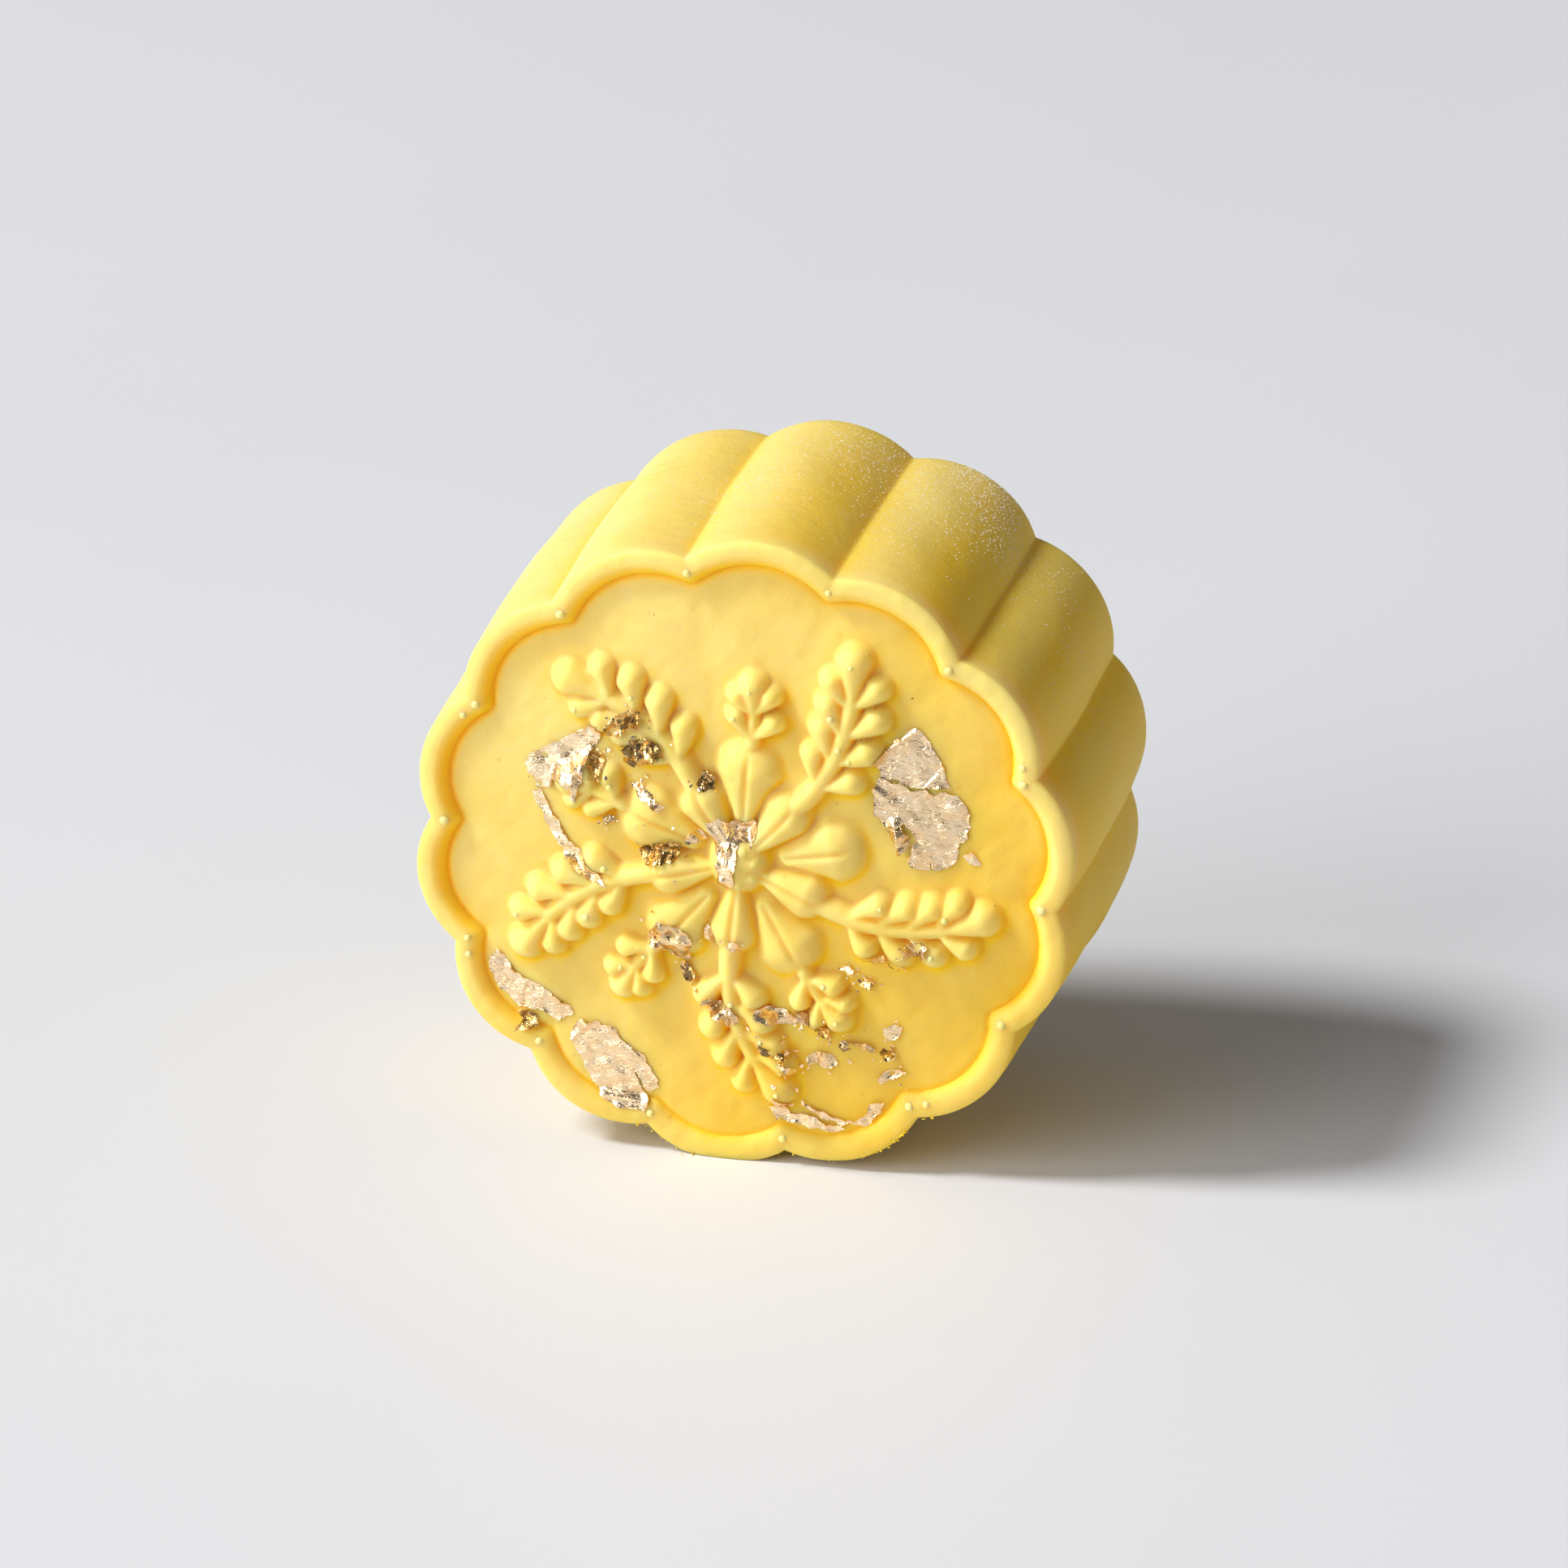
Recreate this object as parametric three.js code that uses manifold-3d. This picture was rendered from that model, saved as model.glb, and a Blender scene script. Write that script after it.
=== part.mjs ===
// A snow-skin mooncake standing on its fluted edge, with six flakes of gold leaf on its pressed face.
//
// The cake is one piece of dough, pressed in a round mould. Its side is a ring of rounded lobes with a
// groove between each two. A rounded rim runs round the face and follows the lobes. Inside it the face is
// sunk, and a five-petalled blossom stands up from it, with five leafy sprigs and a small bud between each
// two. Small pips left by the mould's air holes sit on the rim, one behind each groove. The dough has
// settled a little where it stands, which gives the lowest lobe a narrow flat foot.
//
// Units are millimetres. The cake is built lying down, its face towards +Z and its axis on the origin. The
// last group stands it up: face towards -Y, +Z up, and the origin on the ground under the middle of its box.

import * as THREE from "three";
import { mergeVertices } from "three/addons/utils/BufferGeometryUtils.js";
import Module from "manifold-3d";

const { degToRad, lerp } = THREE.MathUtils;

// Body and rim
const LOBES = 14;
const THICKNESS = 36;
const LOBE_CREST = 32.5; // radius out to the top of a lobe, at the rim
const LOBE_NOTCH = 30.7; // radius in to the bottom of a groove, at the rim
const TURN = degToRad(-2.5); // how far the lowest lobe's middle is turned from straight down
const FOOT_DEPTH = 0.7; // how much of the lowest lobe has settled flat, at the rim
const RIM_INNER_CREST = 29.7; // where the rim's inner wall meets the sunk face, at the middle of a lobe
const RIM_INNER_NOTCH = 28.1; // and behind a groove
const RIM_TOP = 0.42; // where the rim is highest, as a share of its width from the inner wall
const RECESS = 1.5; // depth of the sunk face below the top of the rim
const RIM_ROUND = 1.5; // how far down the outside of the rim its rounding runs
const SIDE_BULGE = 0.4; // how far the lobes swell half way along the side
const SIDE_FLARE = 0.4; // how much wider the back is than the rim
const BACK_ROUND = 3.6;
const LOBE_STEPS = 6;
const ROUND_STEPS = 3;
const SIDE_STEPS = 3;
const RIM_PIP = { radius: 0.55, rise: 0.4, out: 29.2 };

// Pattern on the face. A shape's from is its distance from the middle of the face or, on a stem, its place
// along the stem as a share of it. It leans, in degrees, from the way out from the middle or along the stem,
// and bends by so many degrees over its length.
const SPRIGS = 5;
const FIRST_SPRIG = degToRad(49);
const HEART = { radius: 3, height: 1.7 };
const SEEDS = { count: 7, ring: 1.75, radius: 0.5, rise: 1.5 };
const INNER_PETAL = { from: 1.9, length: 7.6, width: 5.6, height: 1.5, lean: 0, bend: 0 };
const OUTER_PETAL = { from: 4.6, length: 8.6, width: 7.6, height: 1.2, lean: 0, bend: 0 };
const STEM = { from: 7.6, length: 14.5, width: 2.4, height: 1.25, lean: -7, bend: 46 };
const STEM_LEAVES = [
  { from: 0.36, length: 5.2, width: 3.1, height: 1.5, lean: 56, bend: -26 },
  { from: 0.6, length: 5.0, width: 3.0, height: 1.5, lean: 56, bend: -26 },
  { from: 0.84, length: 4.6, width: 2.8, height: 1.5, lean: 56, bend: -26 },
];
const STEM_BUD = { from: 0.92, length: 5.8, width: 3.7, height: 1.7, lean: 0, bend: 12 };
const STALK = { from: 12, length: 4.2, width: 1.7, height: 0.95, lean: 0, bend: 16 };
const STALK_LEAVES = [{ from: 0.42, length: 3.3, width: 2.3, height: 1.2, lean: 62, bend: -20 }];
const STALK_BUD = { from: 0.81, length: 4.2, width: 3.2, height: 1.45, lean: 0, bend: 10 };
const LEAST_BEND = 1e-4; // a straight shape is bent too little to see, so one formula serves every shape
const WIDEST = 0.62; // where along a leaf, petal or bud it is widest
const NECK = 0.25; // how full a leaf is where it starts, before that widest place
const SHAPE_STEPS = 5;
const SHAPE_SIDES = 8;

// Gold leaf. A flake is a rounded oblong, long by wide, turned so many degrees from level, and its edge
// waves in and out.
const FLAKES = [
  { name: "gold_leaf_right", at: [17.6, 7.6], long: 13.6, wide: 8.8, turn: 96 },
  { name: "gold_leaf_upper_left", at: [-17.4, 8.9], long: 7.6, wide: 6.6, turn: 24 },
  { name: "gold_leaf_centre", at: [-1.2, 1.2], long: 7.2, wide: 4.6, turn: 86 },
  { name: "gold_leaf_lower_left", at: [-20.9, -15.8], long: 10.6, wide: 4.6, turn: -38 },
  { name: "gold_leaf_edge", at: [-12.8, -22.7], long: 10.0, wide: 6.8, turn: -50 },
  { name: "gold_leaf_bottom", at: [8.6, -24.6], long: 11.4, wide: 3.2, turn: 6 },
];
const FLAKE_POINTS = 12;
const FLAKE_SQUARENESS = 2.6; // 2 is an ellipse, and more is squarer
const FLAKE_WAVE = 0.08; // how deep the edge waves, as a share of its distance from the middle
const LEAF_GAP = 0.3;
const LEAF_THICKNESS = 0.25;
const LEAF_RINGS = 3;
const LEAF_REACH = 1.1; // what stands this near a corner of a flake lifts it to its own height
const LEAF_SLOPE = 0.6; // from further off it lifts the corner less, so that the leaf slopes down gently
const LEAF_FELT = [0.55, 1.1, 2.2, 3.3, 4.4]; // how far from each corner the face is felt for
const LEAF_PROBES = 12;

const FRONT = THICKNESS / 2;
const FIELD = FRONT - RECESS; // height of the sunk face
const LOBE_PITCH = (2 * Math.PI) / LOBES;
const LOWEST_LOBE = TURN - Math.PI / 2;
const GROUND = FOOT_DEPTH - LOBE_CREST;

const wasm = await Module();
wasm.setup();

// A closed three.js geometry as a manifold-3d solid.
function solidFrom(geometry) {
  const bare = geometry.clone();
  bare.deleteAttribute("normal");
  bare.deleteAttribute("uv");
  const merged = mergeVertices(bare);
  const mesh = new wasm.Mesh({
    numProp: 3,
    vertProperties: merged.attributes.position.array,
    triVerts: new Uint32Array(merged.index.array),
  });
  return new wasm.Manifold(mesh);
}

function geometryFrom(solid) {
  const { vertProperties, triVerts } = solid.getMesh();
  const geometry = new THREE.BufferGeometry();
  geometry.setAttribute("position", new THREE.BufferAttribute(vertProperties, 3));
  geometry.setIndex(new THREE.BufferAttribute(triVerts, 1));
  geometry.computeVertexNormals();
  return geometry;
}

// Joins a stack of rings, each a list of equally many points, and closes it with a fan at each end. Each
// four-sided face between two rings is split along its shorter diagonal.
function closedStack(firstPoint, rings, lastPoint) {
  const count = rings[0].length;
  const points = [firstPoint, ...rings.flat(), lastPoint];
  const last = points.length - 1;
  const apart = (a, b) => Math.hypot(...points[a].map((value, axis) => value - points[b][axis]));
  const index = [];
  for (let i = 0; i < count; i++) {
    const next = (i + 1) % count;
    index.push(0, 1 + i, 1 + next);
    for (let near = 1; near < last - count; near += count) {
      const [a, b, c, d] = [near + i, near + count + i, near + count + next, near + next];
      if (apart(a, c) < apart(b, d)) {
        index.push(a, b, c, a, c, d);
      } else {
        index.push(a, b, d, b, c, d);
      }
    }
    index.push(last, last - count + next, last - count + i);
  }
  const geometry = new THREE.BufferGeometry();
  geometry.setAttribute("position", new THREE.Float32BufferAttribute(points.flat(), 3));
  geometry.setIndex(index);
  return geometry;
}

// Radius, at an angle, of a ring of equal arcs. Each arc rises to crest, and neighbours meet at notch.
function scallop(angle, crest, notch) {
  const half = LOBE_PITCH / 2;
  const fromLowest = angle - LOWEST_LOBE;
  const fromMiddle = fromLowest - LOBE_PITCH * Math.round(fromLowest / LOBE_PITCH);
  const rise = crest - notch * Math.cos(half);
  const arc = (rise ** 2 + (notch * Math.sin(half)) ** 2) / (2 * rise);
  const centre = crest - arc;
  return centre * Math.cos(fromMiddle) + Math.sqrt(arc ** 2 - (centre * Math.sin(fromMiddle)) ** 2);
}

const innerEdge = (angle) => scallop(angle, RIM_INNER_CREST, RIM_INNER_NOTCH);
const outerEdge = (angle, swell = 0) => scallop(angle, LOBE_CREST + swell, LOBE_NOTCH + swell);
const acrossRim = (angle, share) => lerp(innerEdge(angle), outerEdge(angle), share);
const quarter = (i) => ((Math.PI / 2) * i) / ROUND_STEPS;

// The dough without its pattern: rings from the sunk face, over the rim, down the side and round to the back.
function bodyGeometry() {
  const sections = [];
  for (let i = ROUND_STEPS; i > 0; i--) {
    const share = RIM_TOP * (1 - Math.sin(quarter(i)));
    const height = FRONT - RECESS * (1 - Math.cos(quarter(i)));
    sections.push({ radius: (angle) => acrossRim(angle, share), height });
  }
  for (let i = 0; i <= ROUND_STEPS; i++) {
    const share = lerp(RIM_TOP, 1, Math.sin(quarter(i)));
    const height = FRONT - RIM_ROUND * (1 - Math.cos(quarter(i)));
    sections.push({ radius: (angle) => acrossRim(angle, share), height });
  }
  for (let i = 1; i <= SIDE_STEPS; i++) {
    const along = i / SIDE_STEPS;
    const swell = SIDE_BULGE * Math.sin(Math.PI * along) + SIDE_FLARE * along;
    const height = lerp(FRONT - RIM_ROUND, BACK_ROUND - FRONT, along);
    sections.push({ radius: (angle) => outerEdge(angle, swell), height });
  }
  for (let i = 1; i <= ROUND_STEPS; i++) {
    const pulledIn = BACK_ROUND * (1 - Math.cos(quarter(i)));
    const height = BACK_ROUND * (1 - Math.sin(quarter(i))) - FRONT;
    sections.push({ radius: (angle) => outerEdge(angle, SIDE_FLARE) - pulledIn, height });
  }
  const rings = sections.map(({ radius, height }) =>
    Array.from({ length: LOBES * LOBE_STEPS }, (_, i) => {
      const angle = LOWEST_LOBE + (LOBE_PITCH * i) / LOBE_STEPS;
      return [radius(angle) * Math.cos(angle), radius(angle) * Math.sin(angle), height];
    }),
  );
  return closedStack([0, 0, FIELD], rings, [0, 0, -FRONT]);
}

// A raised shape lies along an arc on the sunk face. Its outline is a rod with round ends, or a leaf.
class Shape {
  constructor(outline, start, heading, { length, width, height, bend }, side = 1) {
    this.outline = outline;
    this.heading = heading;
    this.length = length;
    this.half = width / 2;
    this.height = height;
    this.arc = length / (side * degToRad(bend) || LEAST_BEND);
    this.centre = [start[0] - this.arc * Math.sin(heading), start[1] + this.arc * Math.cos(heading)];
  }

  // The point at a distance along the shape's arc and another to its left.
  point(along, across) {
    const heading = this.headingAt(along);
    const out = this.arc - across;
    return [this.centre[0] + out * Math.sin(heading), this.centre[1] - out * Math.cos(heading)];
  }

  headingAt(along) {
    return this.heading + along / this.arc;
  }

  // Half the shape's width at a distance along it.
  halfWidth(along) {
    if (this.outline === "rod") {
      const past = Math.max(0, this.half - along, along - this.length + this.half);
      return Math.sqrt(Math.max(0, this.half ** 2 - past ** 2));
    }
    const share = along / this.length;
    if (share < WIDEST) {
      return (this.half * (1 - Math.cos((Math.PI * (share / WIDEST + NECK)) / (1 + NECK)))) / 2;
    }
    return this.half * Math.sqrt(Math.max(0, 1 - ((share - WIDEST) / (1 - WIDEST)) ** 2));
  }

  // How far the shape stands above the sunk face at a point, or 0 beside it.
  rise(x, y) {
    const [dx, dy] = [x - this.centre[0], y - this.centre[1]];
    const turned = Math.atan2(dx, -dy) - this.heading + (this.arc < 0 ? Math.PI : 0);
    const along = this.arc * Math.atan2(Math.sin(turned), Math.cos(turned));
    const across = this.arc - Math.sign(this.arc) * Math.hypot(dx, dy);
    if (along <= 0 || along >= this.length) return 0;
    return (this.height / this.half) * Math.sqrt(Math.max(0, this.halfWidth(along) ** 2 - across ** 2));
  }

  geometry() {
    const rings = [];
    for (let step = 1; step < SHAPE_STEPS; step++) {
      const along = (this.length * (1 - Math.cos((Math.PI * step) / SHAPE_STEPS))) / 2;
      const half = this.halfWidth(along);
      const ring = Array.from({ length: SHAPE_SIDES }, (_, i) => {
        const round = (2 * Math.PI * i) / SHAPE_SIDES;
        const up = (this.height / this.half) * half * Math.sin(round);
        return [...this.point(along, -half * Math.cos(round)), FIELD + up];
      });
      rings.push(ring);
    }
    return closedStack([...this.point(0, 0), FIELD], rings, [...this.point(this.length, 0), FIELD]);
  }
}

const outFrom = (angle, distance) => [distance * Math.cos(angle), distance * Math.sin(angle)];

// A shape that starts at its own distance from the middle of the face.
function fromMiddle(outline, angle, sizes) {
  return new Shape(outline, outFrom(angle, sizes.from), angle + degToRad(sizes.lean), sizes);
}

// A stem with its pairs of leaves and the bud at its end.
function sprig(angle, stemSizes, leafSizes, budSizes) {
  const stem = fromMiddle("rod", angle, stemSizes);
  const growFrom = (sizes, side) => {
    const along = sizes.from * stem.length;
    const heading = stem.headingAt(along) + side * degToRad(sizes.lean);
    return new Shape("leaf", stem.point(along, 0), heading, sizes, side);
  };
  const leaves = leafSizes.flatMap((sizes) => [growFrom(sizes, 1), growFrom(sizes, -1)]);
  return [stem, ...leaves, growFrom(budSizes, 1)];
}

const pattern = [];
for (let i = 0; i < SPRIGS; i++) {
  const angle = FIRST_SPRIG + (2 * Math.PI * i) / SPRIGS;
  const between = angle + Math.PI / SPRIGS;
  pattern.push(fromMiddle("leaf", angle, INNER_PETAL), fromMiddle("leaf", between, OUTER_PETAL));
  pattern.push(...sprig(angle, STEM, STEM_LEAVES, STEM_BUD));
  pattern.push(...sprig(between, STALK, STALK_LEAVES, STALK_BUD));
}

// Height of the whole face at a point, rim and pattern together.
function faceHeight(x, y) {
  const angle = Math.atan2(y, x);
  const share = (Math.hypot(x, y) - innerEdge(angle)) / (outerEdge(angle) - innerEdge(angle));
  if (share > RIM_TOP) {
    const past = Math.min(1, (share - RIM_TOP) / (1 - RIM_TOP));
    return FRONT - RIM_ROUND * (1 - Math.sqrt(1 - past ** 2));
  }
  if (share > 0) {
    return FRONT - RECESS * (1 - Math.sqrt(1 - (1 - share / RIM_TOP) ** 2));
  }
  const heart = HEART.height * Math.sqrt(Math.max(0, 1 - (x ** 2 + y ** 2) / HEART.radius ** 2));
  return FIELD + Math.max(heart, ...pattern.map((shape) => shape.rise(x, y)));
}

// A small dome whose lower half is in the dough.
function domeGeometry(x, y, base, radius, height) {
  const dome = new THREE.SphereGeometry(radius, SHAPE_SIDES, SHAPE_STEPS - 1);
  dome.rotateX(Math.PI / 2);
  dome.scale(1, 1, height / radius);
  return dome.translate(x, y, base);
}

function cakeGeometry() {
  const pieces = [bodyGeometry(), ...pattern.map((shape) => shape.geometry())];
  pieces.push(domeGeometry(0, 0, FIELD, HEART.radius, HEART.height));
  for (let i = 0; i < SEEDS.count; i++) {
    const [x, y] = outFrom((2 * Math.PI * i) / SEEDS.count, SEEDS.ring);
    pieces.push(domeGeometry(x, y, FIELD + SEEDS.rise - SEEDS.radius / 2, SEEDS.radius, SEEDS.radius));
  }
  for (let i = 0; i < LOBES; i++) {
    const [x, y] = outFrom(LOWEST_LOBE + LOBE_PITCH * (i + 0.5), RIM_PIP.out);
    pieces.push(domeGeometry(x, y, faceHeight(x, y), RIM_PIP.radius, RIM_PIP.rise));
  }
  const whole = pieces.map(solidFrom).reduce((joined, piece) => joined.add(piece));
  const ground = new THREE.BoxGeometry(3 * LOBE_CREST, LOBE_CREST, 2 * THICKNESS);
  ground.translate(0, GROUND - LOBE_CREST / 2, 0);
  return geometryFrom(whole.subtract(solidFrom(ground)));
}

// How far a flake's edge is from its middle, at an angle from its long axis.
function flakeReach(angle, { long, wide }) {
  const level = Math.abs((2 * Math.cos(angle)) / long) ** FLAKE_SQUARENESS;
  const upright = Math.abs((2 * Math.sin(angle)) / wide) ** FLAKE_SQUARENESS;
  const wave = 1 + FLAKE_WAVE * Math.sin(3 * angle + long);
  return wave / (level + upright) ** (1 / FLAKE_SQUARENESS);
}

// A flake of gold leaf draped over the face. Each of its corners clears whatever stands near it.
function flakeGeometry(flake) {
  const { at } = flake;
  const clearHeight = (x, y) => {
    const heights = [faceHeight(x, y)];
    for (let i = 0; i < LEAF_PROBES; i++) {
      for (const away of LEAF_FELT) {
        const [dx, dy] = outFrom((2 * Math.PI * i) / LEAF_PROBES, away);
        heights.push(faceHeight(x + dx, y + dy) - LEAF_SLOPE * Math.max(away - LEAF_REACH, 0));
      }
    }
    return Math.max(...heights) + LEAF_GAP;
  };
  const layer = (lift) =>
    Array.from({ length: LEAF_RINGS }, (_, ring) =>
      Array.from({ length: FLAKE_POINTS }, (_, i) => {
        const angle = (2 * Math.PI * i) / FLAKE_POINTS;
        const out = (flakeReach(angle, flake) * (ring + 1)) / LEAF_RINGS;
        const [dx, dy] = outFrom(angle + degToRad(flake.turn), out);
        return [at[0] + dx, at[1] + dy, clearHeight(at[0] + dx, at[1] + dy) + lift];
      }),
    );
  const middle = clearHeight(...at);
  const rings = [...layer(LEAF_THICKNESS), ...layer(0).reverse()];
  return closedStack([...at, middle + LEAF_THICKNESS], rings, [...at, middle]);
}

function doughMaterial() {
  return new THREE.MeshStandardMaterial({ color: 0xf4d768, roughness: 0.6, metalness: 0 });
}

function goldMaterial() {
  return new THREE.MeshStandardMaterial({ color: 0xe3bb78, roughness: 0.3, metalness: 1 });
}

function named(name, geometry, material) {
  const mesh = new THREE.Mesh(geometry, material);
  mesh.name = name;
  return mesh;
}

const lying = new THREE.Group();
lying.add(named("mooncake", cakeGeometry(), doughMaterial()));
for (const flake of FLAKES) {
  lying.add(named(flake.name, flakeGeometry(flake), goldMaterial()));
}
lying.rotation.x = Math.PI / 2;

const standing = new THREE.Group();
standing.add(lying);
const box = new THREE.Box3().setFromObject(standing);
lying.position.set(-(box.min.x + box.max.x) / 2, -(box.min.y + box.max.y) / 2, -box.min.z);

export default standing;
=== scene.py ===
import math
import random

import bpy
import numpy as np
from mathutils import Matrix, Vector
from mathutils.geometry import delaunay_2d_cdt


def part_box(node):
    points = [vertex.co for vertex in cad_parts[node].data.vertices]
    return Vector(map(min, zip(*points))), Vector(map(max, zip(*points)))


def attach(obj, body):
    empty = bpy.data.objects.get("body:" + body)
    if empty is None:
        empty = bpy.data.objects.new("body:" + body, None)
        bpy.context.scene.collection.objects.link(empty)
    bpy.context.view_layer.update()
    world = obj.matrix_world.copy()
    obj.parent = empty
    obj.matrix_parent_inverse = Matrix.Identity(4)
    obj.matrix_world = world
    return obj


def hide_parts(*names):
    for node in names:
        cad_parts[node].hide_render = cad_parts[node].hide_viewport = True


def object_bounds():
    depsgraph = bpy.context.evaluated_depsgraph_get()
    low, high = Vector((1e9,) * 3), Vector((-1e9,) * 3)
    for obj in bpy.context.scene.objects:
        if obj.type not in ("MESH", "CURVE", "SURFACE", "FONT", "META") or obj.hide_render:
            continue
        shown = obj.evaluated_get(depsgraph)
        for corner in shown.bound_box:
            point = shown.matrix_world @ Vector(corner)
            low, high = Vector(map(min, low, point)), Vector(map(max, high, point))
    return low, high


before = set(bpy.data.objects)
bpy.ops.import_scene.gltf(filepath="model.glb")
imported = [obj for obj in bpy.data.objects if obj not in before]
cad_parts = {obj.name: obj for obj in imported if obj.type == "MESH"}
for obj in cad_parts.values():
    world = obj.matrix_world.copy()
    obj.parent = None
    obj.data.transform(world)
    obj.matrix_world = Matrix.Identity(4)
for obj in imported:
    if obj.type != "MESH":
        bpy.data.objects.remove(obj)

cad_low, cad_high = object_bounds()
MM = 0.001


# ------------------------------------------------------------------------------
# The cake. One lump of no-bake rice dough, pressed in a round fluted mould and turned out on its side. The
# mould gave it lobes, a rounded rim, a sunk face with a blossom and leafy sprigs, and pips at its air holes.
# ------------------------------------------------------------------------------
cake_low, cake_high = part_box("mooncake")
# Sizes are in millimetres, and RIM_TOP is a share of the rim's width.
LOBES = 14
LOBE_PITCH = 2 * math.pi / LOBES
LOWEST_LOBE = math.radians(-92.5)
THICKNESS = 36.0
LOBE_CREST, LOBE_NOTCH = 32.5, 30.7
FOOT_DEPTH = 0.7
RIM_INNER_CREST, RIM_INNER_NOTCH = 29.7, 27.6
RIM_TOP = 0.52
RIM_FOLD = 0.2
RIM_SLOPE, RIM_PRESSED = 0.20, 0.8
RIM_ROUND = 0.55
RECESS = 1.35
FACE_CROWN = 1.45
SIDE_BULGE, SIDE_FLARE = 0.4, 0.4
BACK_ROUND = 4.2
AXIS = Vector((
    (cake_low.x + cake_high.x) / 2,
    cake_high.y - THICKNESS * MM,
    cake_low.z + (LOBE_CREST - FOOT_DEPTH) * MM,
))


def smooth_max(a, b, blend):
    """The larger of two heights, with a fillet where they cross."""
    near = np.maximum(blend - np.abs(a - b), 0) / blend
    return np.maximum(a, b) + near * near * blend / 4


def waves(points, size, seed, count=14):
    """Smooth unevenness, about -1 to 1, whose swells are about this size."""
    draw = np.random.default_rng(seed)
    total = np.zeros(len(points))
    for _ in range(count):
        way = draw.normal(size=points.shape[1])
        way *= 2 * math.pi / (size * draw.uniform(1.5, 3.0) * np.linalg.norm(way))
        total += np.sin(points @ way + draw.uniform(0, 2 * math.pi))
    return total / math.sqrt(count)


def settle(angle):
    """The angle that a place on the mould's rim has after the soft cake has slumped a little to one side."""
    slump = -1.4 + 1.5 * np.cos(angle - math.radians(132)) + 1.05 * np.cos(2 * angle + math.radians(66))
    return angle - np.radians(slump)


def scallop(angle, crest, notch, fillet):
    """Radius of the ring of lobes at an angle, with the corners between its arcs filled out a little."""
    from_lowest = settle(angle) - LOWEST_LOBE
    from_middle = np.abs(from_lowest - LOBE_PITCH * np.round(from_lowest / LOBE_PITCH))
    half = LOBE_PITCH / 2
    rise = crest - notch * math.cos(half)
    arc = (rise**2 + (notch * math.sin(half)) ** 2) / (2 * rise)
    centre = crest - arc

    def reach(turn):
        return centre * np.cos(turn) + np.sqrt(np.maximum(arc**2 - (centre * np.sin(turn)) ** 2, 0))

    return smooth_max(reach(from_middle), reach(LOBE_PITCH - from_middle), fillet)


def inner_edge(angle):
    return scallop(angle, RIM_INNER_CREST, RIM_INNER_NOTCH, 0.9)


def outer_edge(angle, swell=0.0):
    return scallop(angle, LOBE_CREST + swell, LOBE_NOTCH + swell, 0.12)


def rim_share(x, y):
    """How far across the rim points are: 0 at its inner edge, 1 at its outer edge and below 0 on the face."""
    angle = np.arctan2(y, x)
    inner, outer = inner_edge(angle), outer_edge(angle)
    return (np.hypot(x, y) - inner) / (outer - inner)


class Relief:
    """A raised shape along an arc: narrow where it starts, round where it ends, with sloping sides."""

    STEEPEST = 0.88

    def __init__(self, start, heading, length, first, last, height, bend=0.0, vein=0.0):
        self.heading, self.length, self.height, self.vein = heading, length, height, vein
        self.first, self.last = first, last
        self.arc = length / (bend if abs(bend) > 1e-4 else 1e-4)
        self.centre = (start[0] - self.arc * math.sin(heading), start[1] + self.arc * math.cos(heading))

    def heading_at(self, along):
        return self.heading + along / self.arc

    def point(self, along):
        turned = self.heading_at(along)
        return self.centre[0] + self.arc * math.sin(turned), self.centre[1] - self.arc * math.cos(turned)

    def place(self, x, y):
        dx, dy = x - self.centre[0], y - self.centre[1]
        turned = np.arctan2(dx, -dy) - self.heading + (math.pi if self.arc < 0 else 0)
        along = self.arc * np.arctan2(np.sin(turned), np.cos(turned))
        return along, self.arc - math.copysign(1, self.arc) * np.hypot(dx, dy)

    def rise(self, x, y):
        """Height above the sunk face. Beside the shape it goes on falling, so that it can be blended."""
        along, across = self.place(x, y)
        core = self.length - self.first - self.last
        share = np.clip((along - self.first) / core, 0, 1)
        half = self.first + (self.last - self.first) * share
        away = np.hypot(across, along - self.first - core * share) / half
        round_top = np.sqrt(np.clip(1 - away**2, 0, None))
        edge = math.sqrt(1 - self.STEEPEST**2)
        slope = edge - (away - self.STEEPEST) * self.STEEPEST / edge
        top = np.where(away < self.STEEPEST, round_top, slope)
        taper = 0.55 + 0.45 * (half / max(self.first, self.last))
        groove = self.vein * np.exp(-((across / 0.28) ** 2)) * np.clip(1.6 - 2.2 * away, 0, 1)
        return self.height * taper * top - groove


def out_from(angle, distance):
    return (distance * math.cos(angle), distance * math.sin(angle))


def sprig(angle, start, length, thick, bend, leaves, bud, height):
    """A curved stem with pairs of leaves and a bud at its end. A leaf is (share, length, first, last)."""
    stem = Relief(out_from(angle, start), angle - 0.12, length, thick, thick * 0.85, height, bend)
    parts = [stem]
    for share, long, first, last in leaves:
        for side in (-1, 1):
            heading = stem.heading_at(share * length) + side * math.radians(54)
            at = stem.point(share * length)
            parts.append(Relief(at, heading, long, first, last, 2.0, -side * math.radians(26)))
    long, first, last = bud
    share = 1 - 1.2 / length
    at, heading = stem.point(share * length), stem.heading_at(share * length)
    parts.append(Relief(at, heading, long, first, last, 2.1, 0.2))
    return parts


SPRIGS = 5
FIRST_SPRIG = math.radians(49)
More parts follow.
